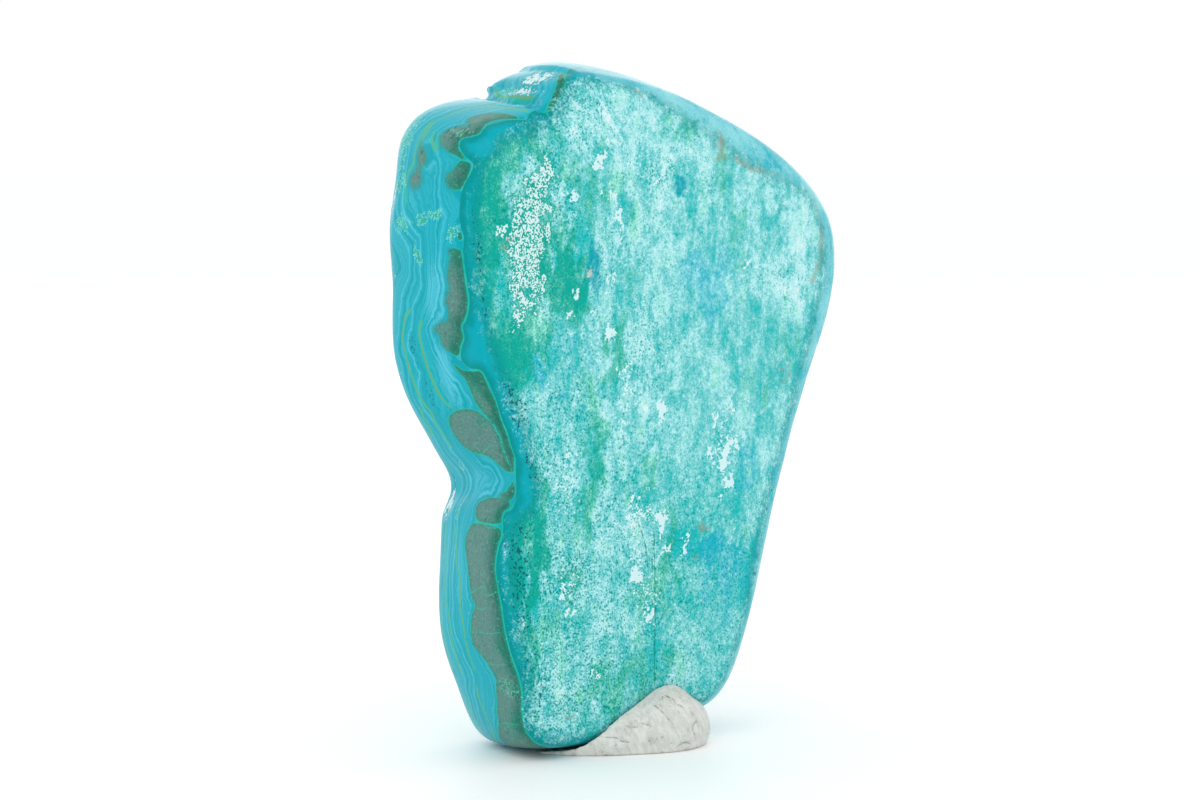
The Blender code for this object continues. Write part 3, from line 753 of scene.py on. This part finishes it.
def nearest_on(course, spots):
    """For each spot: distance to the course, length along it, and the side it is on (+1 left, -1 right)."""
    starts, runs = course[:-1], np.diff(course, axis=0)
    lengths = np.linalg.norm(runs, axis=1)
    marks = np.concatenate([[0.0], np.cumsum(lengths)])
    gaps, alongs, sides = (np.empty(len(spots)) for _ in range(3))
    for first in range(0, len(spots), BATCH):
        part = slice(first, first + BATCH)
        offset = spots[part, None, :] - starts[None]
        t = np.clip((offset * runs).sum(2) / np.maximum(lengths, 1e-9) ** 2, 0.0, 1.0)
        apart = np.linalg.norm(offset - t[..., None] * runs, axis=2)
        best = apart.argmin(1)
        rows = np.arange(len(best))
        gaps[part] = apart[rows, best]
        alongs[part] = marks[best] + t[rows, best] * lengths[best]
        cross = runs[best, 0] * offset[rows, best, 1] - runs[best, 1] * offset[rows, best, 0]
        sides[part] = np.where(cross < 0, -1.0, 1.0)
    return gaps, alongs, sides


def inside(outline, spots):
    """Which spots lie inside a closed outline, by counting crossings."""
    within = np.zeros(len(spots), dtype=bool)
    for (x0, y0), (x1, y1) in zip(outline[:-1], outline[1:]):
        crosses = (y0 > spots[:, 1]) != (y1 > spots[:, 1])
        if y0 != y1:
            within ^= crosses & (spots[:, 0] < x0 + (spots[:, 1] - y0) * (x1 - x0) / (y1 - y0))
    return within


def depth_in(outline, spots, reach):
    """Signed distance into a closed outline, positive inside, no lower than -reach."""
    course = smooth_course(outline, closed=True)
    depth = np.full(len(spots), -reach)
    near = np.all((spots > course.min(0) - reach) & (spots < course.max(0) + reach), axis=1)
    close = spots[near]
    gap = nearest_on(course, close)[0]
    depth[near] = np.maximum(np.where(inside(course, close), gap, -gap), -reach)
    return depth


def wandering(places, steps, reach):
    """Places shifted by up to the reach, over the steps in X, Y and Z, to fray what is laid on them."""
    turbulence.seed_set(WANDER_SEED)
    shifts = [turbulence.turbulence_vector(Vector(place), WANDER_OCTAVES, False) for place in places / steps]
    return places + reach * np.array(shifts)


def patches(table, spots):
    """Sum of soft elliptical patches at each spot."""
    total = np.zeros(len(spots))
    for across, up, half_width, half_height, lean, strength in table.values():
        turn = math.radians(lean)
        dx, dz = spots[:, 0] - across, spots[:, 1] - up
        u = (dx * math.cos(turn) - dz * math.sin(turn)) / half_width
        v = (dx * math.sin(turn) + dz * math.cos(turn)) / half_height
        total += strength * np.clip(PATCH_END - np.hypot(u, v), 0.0, 1.0)
    return total


def rim_outline():
    """The slab's outline half way through its thickness, from the top of the crown down the left side."""
    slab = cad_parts[SLAB_NODE]
    mesh = slab.data
    places = places_mm(slab)
    ends = np.empty(len(mesh.edges) * 2, dtype=np.int32)
    mesh.edges.foreach_get("vertices", ends)
    a, b = places[ends.reshape(-1, 2)].transpose(1, 0, 2)
    cut = (a[:, 1] > 0) != (b[:, 1] > 0)
    a, b = a[cut], b[cut]
    crossing = (a + (b - a) * (a[:, 1] / (a[:, 1] - b[:, 1]))[:, None])[:, [0, 2]]
    middle = (crossing.min(0) + crossing.max(0)) / 2
    turn = np.arctan2(crossing[:, 1] - middle[1], crossing[:, 0] - middle[0])
    crossing = crossing[np.argsort(turn)]
    outline = [crossing[0]]
    for spot in crossing:
        if np.linalg.norm(spot - outline[-1]) > OUTLINE_STEP:
            outline.append(spot)
    outline = np.array(outline)
    outline = np.roll(outline, -int(outline[:, 1].argmax()), axis=0)
    return np.vstack([outline, outline[:1]])


def rim_chart(places):
    """Each place's (along, across) in the rim chart."""
    gap, along, side = nearest_on(rim_outline(), places[:, [0, 2]])
    inset = gap * side
    y = places[:, 1]
    return np.column_stack([along, np.where(y < 0, y - inset, y + inset)])


def line_gap(courses, spots):
    """Signed distance to the nearest of several thin lines, made very large away from them."""
    nearest = np.full(len(spots), NO_LINE)
    for course in courses:
        gap, _, side = nearest_on(smooth_course(course), spots)
        closer = gap < abs(nearest)
        nearest[closer] = (gap * side)[closer]
    return np.where(abs(nearest) < LINE_REACH, nearest, nearest * PAST_REACH)


def mark_stone(obj):
    """Stores every marking's distance or strength on the slab's vertices, for the stone's material."""
    places = places_mm(obj)
    rim = rim_chart(places)
    along, across = rim.T
    front = places[:, 1] < 0

    marks = {name: patches(table, rim) for name, table in EDGE_TABLES.items()}
    for tables, wander in ((CLOUD_TABLES, CLOUD_WANDER), (BIT_TABLES, BIT_WANDER)):
        face = wandering(places, *wander)[:, [0, 2]]
        turned = np.column_stack([-face[:, 0], face[:, 1]]) + BACK_SHIFT
        for name, table in tables.items():
            marks[name] = np.where(front, patches(table, face), patches(table, turned))
    for name, courses in EDGE_LINES.items():
        marks[name] = line_gap(courses, rim)
    marks["scratch"] = np.where(front, line_gap(SCRATCHES, places[:, [0, 2]]), NO_LINE)
    for name, stretch in STRETCHES.items():
        marks[name] = np.interp(along, *stretch)
    depths = [depth_in(outline, rim, AGATE_REACH) for outline in AGATE_PATCHES.values()]
    marks["agate"] = np.max(depths, axis=0)
    gap, _, side = nearest_on(smooth_course(GREEN_SEAM), rim)
    marks["seam"] = np.where(along < SEAM_FOOT, -gap * side, -AGATE_REACH)
    rim_line = smooth_course(FRONT_RIM)
    marks["into_face"] = np.maximum(np.interp(along, *rim_line.T) - across, across - BACK_RIM)
    for name, values in marks.items():
        store(obj, name, values)


# ---- materials ----

def add(tree, kind, inputs=None, out=0, **settings):
    """Adds a node: settings are its properties, inputs are values or other nodes' outputs by socket."""
    node = tree.nodes.new(kind)
    for key, value in settings.items():
        setattr(node, key, value)
    for key, value in (inputs or {}).items():
        if isinstance(value, bpy.types.NodeSocket):
            tree.links.new(value, node.inputs[key])
        else:
            node.inputs[key].default_value = value
    return node.outputs[out] if node.outputs else None


def new_material(name):
    """An empty node material and its tree."""
    material = bpy.data.materials.new(name)
    material.use_nodes = True
    material.node_tree.nodes.clear()
    return material, material.node_tree


def finish_material(tree, looks):
    """Adds the shader with its looks, as values or other nodes' outputs, and joins it to the output."""
    shader = add(tree, "ShaderNodeBsdfPrincipled", looks)
    add(tree, "ShaderNodeOutputMaterial", {"Surface": shader})


def summed(tree, start, *terms):
    """A start value plus each term's value times its factor."""
    for value, factor in terms:
        start = add(tree, "ShaderNodeMath", {0: value, 1: factor, 2: start}, operation="MULTIPLY_ADD")
    return start


def layered(tree, colour, *layers):
    """Lays colours over one another: each appears as its mask goes from low to high, up to its strength."""
    for over, mask, low, high, strength in layers:
        reach = {"Value": mask, "From Min": low, "From Max": high, "To Max": strength}
        amount = add(tree, "ShaderNodeMapRange", reach, interpolation_type="SMOOTHSTEP")
        colour = add(tree, "ShaderNodeMix", {0: amount, 6: colour, 7: over}, out=2, data_type="RGBA")
    return colour


def noises(tree, table):
    """The table's noises by name, each within -0.5 to 0.5, over the object's own coordinates."""
    object_place = add(tree, "ShaderNodeTexCoord", out="Object")
    place = add(tree, "ShaderNodeVectorMath", {0: object_place, 3: 1 / MM}, operation="SCALE")
    found = {}
    for name, (size, stretch, lean, detail, roughness) in table.items():
        turn = (0, math.radians(lean), 0)
        scale = (size, size, size * stretch)
        shape = {"Vector": place, "Rotation": turn, "Scale": scale}
        where = add(tree, "ShaderNodeMapping", shape, vector_type="TEXTURE")
        kind = {"Vector": where, "Scale": 1.0, "Detail": detail, "Roughness": roughness}
        value = add(tree, "ShaderNodeTexNoise", kind)
        found[name] = add(tree, "ShaderNodeMath", {0: value, 1: 0.5}, operation="SUBTRACT")
    return SimpleNamespace(**found)


def stored_marks(tree):
    """What mark_stone stored on the vertices, by name, with the distances to thin lines unsigned."""
    names = (*EDGE_TABLES, *CLOUD_TABLES, *BIT_TABLES, *LINE_MARKS, *STRETCHES, *DISTANCES)
    found = {name: add(tree, "ShaderNodeAttribute", out="Fac", attribute_name=name) for name in names}
    for name in LINE_MARKS:
        found[name] = add(tree, "ShaderNodeMath", {0: found[name]}, operation="ABSOLUTE")
    return SimpleNamespace(**found)


def growth_bands(tree, stone, noise, mark):
    """The banded edge: growth lines follow the distances from the agate and the seam, warped a little."""
    level = summed(
        tree, 0.0, (mark.agate, 0.5), (mark.seam, 0.5),
        (noise.fray, 0.6), (noise.cloud, 4.0), (noise.mottle, 1.5),
    )
    broad = {"W": level, "Scale": BROAD_BANDS, "Detail": 2.5, "Roughness": 0.58}
    broad = add(tree, "ShaderNodeTexNoise", broad, noise_dimensions="1D")
    thin = {"W": level, "Scale": THIN_BANDS, "Detail": 1.0}
    thin = add(tree, "ShaderNodeTexNoise", thin, noise_dimensions="1D")
    ochre = summed(tree, mark.ochre, (noise.fray, 0.25))
    return layered(
        tree, stone.deep,
        (stone.band, broad, 0.36, 0.56, 1.0),
        (stone.sky, summed(tree, broad, (mark.sky, 0.3)), 0.5, 0.84, 0.9),
        (stone.sky, thin, 0.6, 0.78, 0.15),
        (stone.teal, thin, 0.38, 0.25, 0.15),
        (stone.seam, ochre, 0.44, 0.24, 0.6),
        (stone.ochre, ochre, 0.22, 0.06, 0.85),
    )


def with_agate(tree, stone, noise, mark, edge):
    """Agate patches: brown-grey and green-grey inside, dark olive towards the seam, with a green outline."""
    border = summed(tree, mark.agate, (noise.chips, 0.35))
    far = add(tree, "ShaderNodeMapRange", {"Value": mark.seam, "From Min": -1.6, "From Max": -4.5})
    far = add(tree, "ShaderNodeMath", {0: far, 1: mark.hazy}, operation="MULTIPLY")
    softness = summed(tree, 0.06, (far, 0.6))
    melting = add(tree, "ShaderNodeMath", {0: border, 1: softness}, operation="DIVIDE")
    olive = summed(tree, 0.6, (mark.seam, 0.16), (noise.cloud, 3.0), (noise.mottle, 3.0))
    heart = layered(
        tree, stone.agate,
        (stone.olive, olive, -0.1, 0.6, 0.9),
        (stone.shade, summed(tree, mark.seam, (noise.fray, 2.0), (noise.mottle, 3.0)), -3.6, -0.2, 0.75),
        (stone.olive, summed(tree, mark.agate, (noise.fray, 1.0)), 0.8, 0.1, 0.6),
        (stone.shade, noise.hatching, 0.0, 0.2, 0.3),
        (stone.pale_green, noise.hatching, -0.06, -0.26, 0.16),
        (stone.shade, summed(tree, noise.chips, (mark.hatch, 0.16)), 0.14, 0.26, 0.7),
        (stone.pale_green, summed(tree, noise.hatching, (mark.hatch, 0.3)), 0.3, 0.42, 0.45),
        (stone.seam, mark.crack, 0.14, 0.02, 0.45),
    )
    return layered(
        tree, edge,
        (stone.deep, border, -1.1, -0.3, 0.4),
        (stone.seam, summed(tree, border, (far, -0.5)), -0.22, -0.1, 0.55),
        (heart, melting, -1.0, 1.0, 1.0),
    )


def with_scribbles(tree, stone, noise, mark, edge):
    """Lacy scribbles and chalky crust on the edge."""
    lace = summed(tree, -0.9, (mark.lace, 1.2), (noise.fray, 1.4), (noise.chips, 2.4), (noise.grain, 1.0))
    crust = summed(
        tree, -1.0, (mark.side_crust, 1.4), (noise.fray, 1.2), (noise.chips, 2.2), (noise.grain, 1.6),
        (noise.strokes, 2.0),
    )
    return layered(
        tree, edge,
        (stone.pale_green, lace, -0.1, 0.0, 0.8),
        (stone.green, lace, 0.06, 0.16, 0.85),
        (stone.teal, crust, -0.3, -0.1, 0.6),
        (stone.crust, crust, 0.0, 0.2, 0.9),
    )


def with_skin(tree, stone, noise, mark, edge):
    """On the plain side of the edge the bands sink under a hazy blue skin towards the faces."""
    haze = summed(
        tree, 0.55, (noise.mottle, 1.4), (noise.cloud, 1.4), (noise.fray, 1.0), (noise.grain, 0.6)
    )
    skin = layered(
        tree, stone.band,
        (stone.pale_azure, haze, 0.0, 1.0, 0.75),
        (stone.rim_blue, summed(tree, noise.drips, (noise.chips, 0.6)), 0.08, 0.24, 0.5),
    )
    middle = add(tree, "ShaderNodeMapRange", {"Value": mark.into_face, "From Min": -3.5, "From Max": -8.0})
    banded = summed(tree, mark.banded, (middle, 0.6), (noise.fray, 1.0), (noise.mottle, 1.0))
    return layered(tree, skin, (edge, banded, 0.15, 0.85, 1.0))


def with_rim(tree, stone, noise, mark, edge):
    """The clear rim, with the thin green seam along it."""
    seam = summed(tree, mark.seam, (noise.chips, 0.2))
    gap = add(tree, "ShaderNodeMath", {0: seam}, operation="ABSOLUTE")
    pale = summed(tree, mark.into_face, (noise.chips, 6.0), (noise.grain, 4.0), (noise.mottle, 4.0))
    dark = summed(tree, mark.into_face, (noise.chips, -8.0), (noise.fray, -4.0))
    rim = layered(
        tree, stone.teal,
        (stone.rim_blue, summed(tree, seam, (noise.fray, 1.6), (noise.mottle, 3.0)), 0.3, 2.2, 1.0),
        (stone.pale_azure, pale, -0.6, 1.2, 0.2),
        (stone.teal, dark, -0.4, 0.8, 0.6),
        # On the rim the sky colour is the painted highlight on the knob's facets.
        (stone.sky, summed(tree, mark.sky, (noise.cloud, 1.0)), 0.3, 1.1, 0.7),
    )
    return layered(
        tree, edge,
        (rim, summed(tree, seam, (mark.bare, 0.2)), -0.1, 0.1, 1.0),
        (stone.seam, summed(tree, gap, (mark.bare, 1.0), (noise.fray, 0.4)), 0.15, 0.0, 0.65),
    )


def grain_sharpness(tree, mark, green):
    """How sharp the grain is: most in the crust, on the left and near the foot, least in green stone."""
    place = add(tree, "ShaderNodeTexCoord", out="Object")
    across = add(tree, "ShaderNodeSeparateXYZ", {0: place}, out="X")
    up = add(tree, "ShaderNodeSeparateXYZ", {0: place}, out="Z")
    left = add(tree, "ShaderNodeMapRange", {"Value": across, "From Min": 10 * MM, "From Max": -20 * MM})
    foot = add(tree, "ShaderNodeMapRange", {"Value": up, "From Min": 50 * MM, "From Max": 25 * MM})
    return summed(tree, 0.3, (left, 0.35), (foot, 0.35), (mark.crust, 0.6), (green, -0.1))


def speckled_ground(tree, stone, noise, mark):
    """The faces' ground, in three hues from deep to pale as the quartz grows, its paleness and its grain."""
    near_rim = {"Value": mark.into_face, "From Min": 2.4, "From Max": 0.2, "To Max": 0.6}
    near_rim = add(tree, "ShaderNodeMapRange", near_rim)
    green = summed(tree, mark.green, (noise.drips, 2.6), (noise.fray, 1.4), (noise.mottle, 2.6))
    blue = summed(tree, mark.blue, (noise.fray, 1.4), (noise.mottle, 2.4), (near_rim, 0.5))
    green = add(tree, "ShaderNodeMapRange", {"Value": green, "From Min": 0.2, "From Max": 0.85})
    blue = add(tree, "ShaderNodeMapRange", {"Value": blue, "From Min": 0.3, "From Max": 1.0})
    deep = layered(
        tree, stone.turquoise,
        (stone.green, green, 0.0, 1.0, 1.0),
        (stone.azure, blue, 0.0, 1.0, 1.0),
        (stone.teal, near_rim, 0.0, 0.6, 0.7),
        (stone.deep, summed(tree, mark.window, (noise.chips, 1.0)), 0.4, 1.0, 0.9),
    )
    pale = layered(
        tree, stone.pale_turquoise,
        (stone.pale_green, green, 0.0, 1.0, 1.0),
        (stone.pale_azure, blue, 0.0, 1.0, 1.0),
    )
    coarse = summed(tree, noise.grain, (noise.chips, 0.3))
    sharpness = grain_sharpness(tree, mark, green)
    sharp = add(tree, "ShaderNodeMath", {0: coarse, 1: sharpness}, operation="MULTIPLY")
    brushed = add(tree, "ShaderNodeMath", {0: noise.strokes, 1: mark.brush}, operation="MULTIPLY")
    paleness = summed(
        tree, 0.73, (mark.pale, 0.26), (mark.brush, 0.1), (green, -0.22), (mark.green, -0.26), (blue, -0.22),
        (noise.mottle, 2.3), (noise.drips, 1.3), (noise.chips, 0.8), (noise.grain, 0.5), (sharp, 1.0),
        (brushed, 1.2), (mark.low, -0.16), (mark.window, -0.4), (near_rim, -0.35),
    )
    amount = add(tree, "ShaderNodeMath", {0: paleness, 1: 0.0}, operation="MAXIMUM")
    amount = add(tree, "ShaderNodeMath", {0: amount, 1: 2.0}, operation="POWER", use_clamp=True)
    ground = add(tree, "ShaderNodeMix", {0: amount, 6: deep, 7: pale}, out=2, data_type="RGBA")
    return ground, paleness, sharp


def chrysocolla(stone):
    """Chrysocolla with malachite and quartz, sawn, ground and tumble-polished.

    It has a waxy gloss over even colour, slightly duller where the chalky white crust took less polish.
    """
    material, tree = new_material("polished_chrysocolla")
    noise = noises(tree, NOISES)
    mark = stored_marks(tree)
    edge = growth_bands(tree, stone, noise, mark)
    for dress in (with_agate, with_scribbles, with_skin, with_rim):
        edge = dress(tree, stone, noise, mark, edge)

    # White grains lie so thick in the crust that green shows only as dots, and chalk is solid.
    fray, chips, grain = noise.fray, noise.chips, noise.grain
    ground, paleness, sharp = speckled_ground(tree, stone, noise, mark)
    crusted = summed(tree, mark.crust, (fray, 1.2), (noise.mottle, 1.0))
    crusted = add(tree, "ShaderNodeMapRange", {"Value": crusted, "From Min": 0.35, "From Max": 0.9})
    crust_grain = summed(tree, -2.1, (crusted, 2.1), (grain, 2.1), (chips, 1.2), (fray, 0.5))
    chalk = summed(tree, -1.3, (mark.chalk, 1.95), (fray, 1.2), (chips, 3.0), (grain, 2.4))
    face = layered(
        tree, ground,
        (stone.deep_green, summed(tree, sharp, (grain, 0.2)), -0.09, -0.21, 0.8),
        (stone.green, crusted, 0.2, 1.0, 0.85),
        (stone.crust, paleness, 1.05, 1.35, 1.0),
        (stone.crust, crust_grain, -0.1, 0.08, 0.95),
        (stone.chalk, chalk, -0.1, 0.3, 0.95),
        (stone.brown, summed(tree, mark.stain, (fray, 1.4), (chips, 1.0)), 0.5, 1.0, 0.55),
        (stone.brown, summed(tree, mark.wave, (fray, 2.0)), 0.8, 0.1, 0.5),
        (stone.deep_green, summed(tree, mark.scratch, (chips, 0.4)), 0.16, 0.04, 0.75),
    )

    # The clear rim breaks up into the face, and manganese specks lie along the border.
    border = summed(tree, mark.into_face, (fray, 4.0), (chips, 3.0), (grain, 3.0), (noise.mottle, 4.0))
    specks = summed(tree, noise.blots, (mark.specks, 0.23), (grain, 0.3))
    colour = layered(tree, edge, (face, border, -1.3, 0.5, 1.0), (stone.speck, specks, 0.28, 0.33, 0.9))

    # Gloss: a waxy polish, duller on the crust. Chalk and grain stand out by hundredths of a millimetre.
    chalky = add(tree, "ShaderNodeMapRange", {"Value": chalk, "From Min": -0.1, "From Max": 0.15})
    dull = add(tree, "ShaderNodeMath", {0: chalky, 1: crusted}, operation="MAXIMUM")
    relief = summed(tree, 0.0, (dull, 0.4), (grain, 0.5), (fray, 0.6))
    finish_material(tree, {
        "Base Color": colour,
        "Roughness": summed(tree, 0.2, (dull, 0.18), (grain, 0.08)),
        "Normal": add(tree, "ShaderNodeBump", {"Strength": 0.35, "Distance": 0.03 * MM, "Height": relief}),
        "IOR": 1.5,
        "Specular IOR Level": 0.06,
    })
    return material


def pressed_putty(putty):
    """Kneadable putty pressed by hand: matt, gritty and paler where rubbed, with painted shade darkening its
    cracks, wrinkles and pores.
    """
    material, tree = new_material("pressed_putty")
    noise = noises(tree, PUTTY_NOISES)
    grit, mottle, creases = noise.grit, noise.mottle, noise.wrinkles
    crack = add(tree, "ShaderNodeAttribute", out="Fac", attribute_name="crack")
    crack = add(tree, "ShaderNodeMath", {0: crack}, operation="ABSOLUTE")
    crack = summed(tree, crack, (grit, 0.5))
    pores = summed(tree, grit, (mottle, 0.5))
    wrinkles = summed(tree, creases, (mottle, 0.8))
    # Painted shade: the crease colour darkens the low wrinkles, the pores and the sunk cracks.
    colour = layered(
        tree, putty.body,
        (putty.dust, summed(tree, mottle, (creases, 0.8)), -0.08, 0.12, 0.8),
        (putty.crease_shade, wrinkles, -0.12, -0.26, 0.3),
        (putty.crease_shade, pores, -0.16, -0.25, 0.6),
        (putty.crease_shade, crack, 0.14, 0.0, 0.7),
    )
    roughness = summed(tree, 0.8, (grit, 0.4))
    relief = summed(tree, 0.0, (grit, 1.0), (creases, 1.6))
    bump = add(tree, "ShaderNodeBump", {"Strength": 0.6, "Distance": 0.12 * MM, "Height": relief})
    finish_material(tree, {"Base Color": colour, "Roughness": roughness, "Normal": bump})
    return material


def paper_floor(stage):
    """Matt white background paper: lit evenly by the tent, it is almost as bright as the tent itself."""
    material, tree = new_material("white_paper")
    place = add(tree, "ShaderNodeTexCoord", out="Object")
    fibre = add(tree, "ShaderNodeTexNoise", {"Vector": place, "Scale": PAPER_CLOUDS, "Detail": 2.0})
    roughness = add(tree, "ShaderNodeMapRange", {"Value": fibre, "To Min": 0.5, "To Max": 0.62})
    finish_material(tree, {"Base Color": stage.paper, "Roughness": roughness})
    return material


# ---- operators ----

class SPECIMEN_OT_slab(bpy.types.Operator):
    """Make the polished chrysocolla slab"""

    bl_idname = "specimen.slab"
    bl_label = "Chrysocolla slab"

    def execute(self, context):
        stone = context.scene.stone_settings
        slab = refined_copy(SLAB_NODE, "polished_slab", stone.spacing, SLAB_SOFTENING, "CATMULL_CLARK")
        roughen(slab, clouds("hand_polish", RIPPLE_SIZE), stone.ripple)
        rim = rim_chart(places_mm(slab))
        crust = weigh(slab, "crust", np.clip(patches(SIDE_CRUST, rim), 0.0, 1.0))
        roughen(slab, clouds("ledges", LEDGE_SIZE, 1), stone.ledge, crust)
        gap, _, side = nearest_on(smooth_course(LIP), rim)
        for name, (middle, reach) in LIP_CUTS.items():
            weight = weigh(slab, name, np.clip(reach - abs(gap * side - middle), 0.0, 1.0))
            sink(slab, weight, getattr(stone, name))
        slab.vertex_groups.clear()
        bpy.ops.object.shade_smooth()
        mark_stone(slab)
        slab.data.materials.append(chrysocolla(stone))
        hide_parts(SLAB_NODE)
        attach(slab, "root")
        return {"FINISHED"}


class SPECIMEN_OT_putty(bpy.types.Operator):
    """Make the lump of putty that holds the slab upright"""

    bl_idname = "specimen.putty"
    bl_label = "Putty lump"

    def execute(self, context):
        putty = context.scene.putty_settings
        lump = refined_copy(PUTTY_NODE, "pressed_putty_lump", putty.spacing, PUTTY_SOFTENING, "SIMPLE")
        places = places_mm(lump)
        free = weigh(lump, "above_the_foot", np.clip(places[:, 2] - PUTTY_FOOT, 0.0, 1.0))
        roughen(lump, clouds("kneading", KNEAD_SIZE), putty.knead, free)
        roughen(lump, clouds("grit", GRIT_SIZE), putty.grit, free)
        gap = np.where(places[:, 1] < 0, line_gap(PUTTY_CRACKS, places[:, [0, 2]]), NO_LINE)
        crack = weigh(lump, "crack", np.clip(1.0 - abs(gap) / CRACK_HALF_WIDTH, 0.0, 1.0))
        sink(lump, crack, putty.crack)
        lump.vertex_groups.clear()
        store(lump, "crack", gap)
        bpy.ops.object.shade_smooth()
        lump.data.materials.append(pressed_putty(putty))
        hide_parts(PUTTY_NODE)
        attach(lump, "root")
        return {"FINISHED"}


class SPECIMEN_OT_stage(bpy.types.Operator):
    """Make the white floor, the light tent and the camera"""

    bl_idname = "specimen.stage"
    bl_label = "Studio"

    def execute(self, context):
        stage = context.scene.stage_settings
        deselect()
        bpy.ops.mesh.primitive_circle_add(
            vertices=FLOOR_SIDES, radius=stage.floor_radius, fill_type="NGON"
        )
        floor = context.object
        floor.name = "paper_floor"
        floor.data.materials.append(paper_floor(stage))

        world = bpy.data.worlds.new("light_tent")
        world.use_nodes = True
        context.scene.world = world
        background = world.node_tree.nodes["Background"]
        background.inputs["Color"].default_value = (1.0, 1.0, 1.0, 1.0)
        background.inputs["Strength"].default_value = stage.tent

        for (name, (size, place)), power in zip(LAMPS.items(), (stage.key, stage.back)):
            light = bpy.data.lights.new(name, "AREA")
            light.shape = "RECTANGLE"
            light.size, light.size_y = size
            light.energy = power
            lamp = bpy.data.objects.new(name, light)
            context.scene.collection.objects.link(lamp)
            lamp.location = place
            aim = Vector(stage.target) - lamp.location
            lamp.rotation_euler = aim.to_track_quat("-Z", "Y").to_euler()

        camera_data = bpy.data.cameras.new("camera")
        camera_data.lens = stage.lens
        camera_data.sensor_width = SENSOR_WIDTH
        camera_data.clip_start = CAMERA_NEAR
        camera = bpy.data.objects.new("camera", camera_data)
        context.scene.collection.objects.link(camera)
        level = math.cos(stage.elevation)
        away = Vector((
            math.sin(stage.azimuth) * level,
            -math.cos(stage.azimuth) * level,
            math.sin(stage.elevation),
        ))
        camera.location = Vector(stage.target) + away * stage.distance
        camera.rotation_euler = Euler((math.pi / 2 - stage.elevation, 0.0, stage.azimuth))
        context.scene.camera = camera
        context.scene.view_settings.view_transform = "Standard"
        return {"FINISHED"}


class SPECIMEN_PT_panel(bpy.types.Panel):
    """Lists the specimen's pieces and their settings"""

    bl_idname = "SPECIMEN_PT_panel"
    bl_label = "Chrysocolla specimen"
    bl_space_type = "VIEW_3D"
    bl_region_type = "UI"
    bl_category = "Specimen"

    def draw(self, context):
        for group, (_, operator) in PARTS.items():
            box = self.layout.box()
            box.operator(operator.bl_idname)
            settings = getattr(context.scene, group)
            for name in settings.__annotations__:
                box.prop(settings, name)


# Each piece's settings and operator, by the name that the scene holds the settings under.
PARTS = {
    "stone_settings": (StoneSettings, SPECIMEN_OT_slab),
    "putty_settings": (PuttySettings, SPECIMEN_OT_putty),
    "stage_settings": (StageSettings, SPECIMEN_OT_stage),
}
CLASSES = (*(cls for pair in PARTS.values() for cls in pair), SPECIMEN_PT_panel)


def register():
    for cls in CLASSES:
        bpy.utils.register_class(cls)
    for name, (settings, _) in PARTS.items():
        setattr(bpy.types.Scene, name, bpy.props.PointerProperty(type=settings))


def unregister():
    for name in PARTS:
        delattr(bpy.types.Scene, name)
    for cls in reversed(CLASSES):
        bpy.utils.unregister_class(cls)


def main():
    """Registers the add-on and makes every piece."""
    register()
    bpy.ops.specimen.slab()
    bpy.ops.specimen.putty()
    bpy.ops.specimen.stage()


if __name__ == "__main__":
    main()
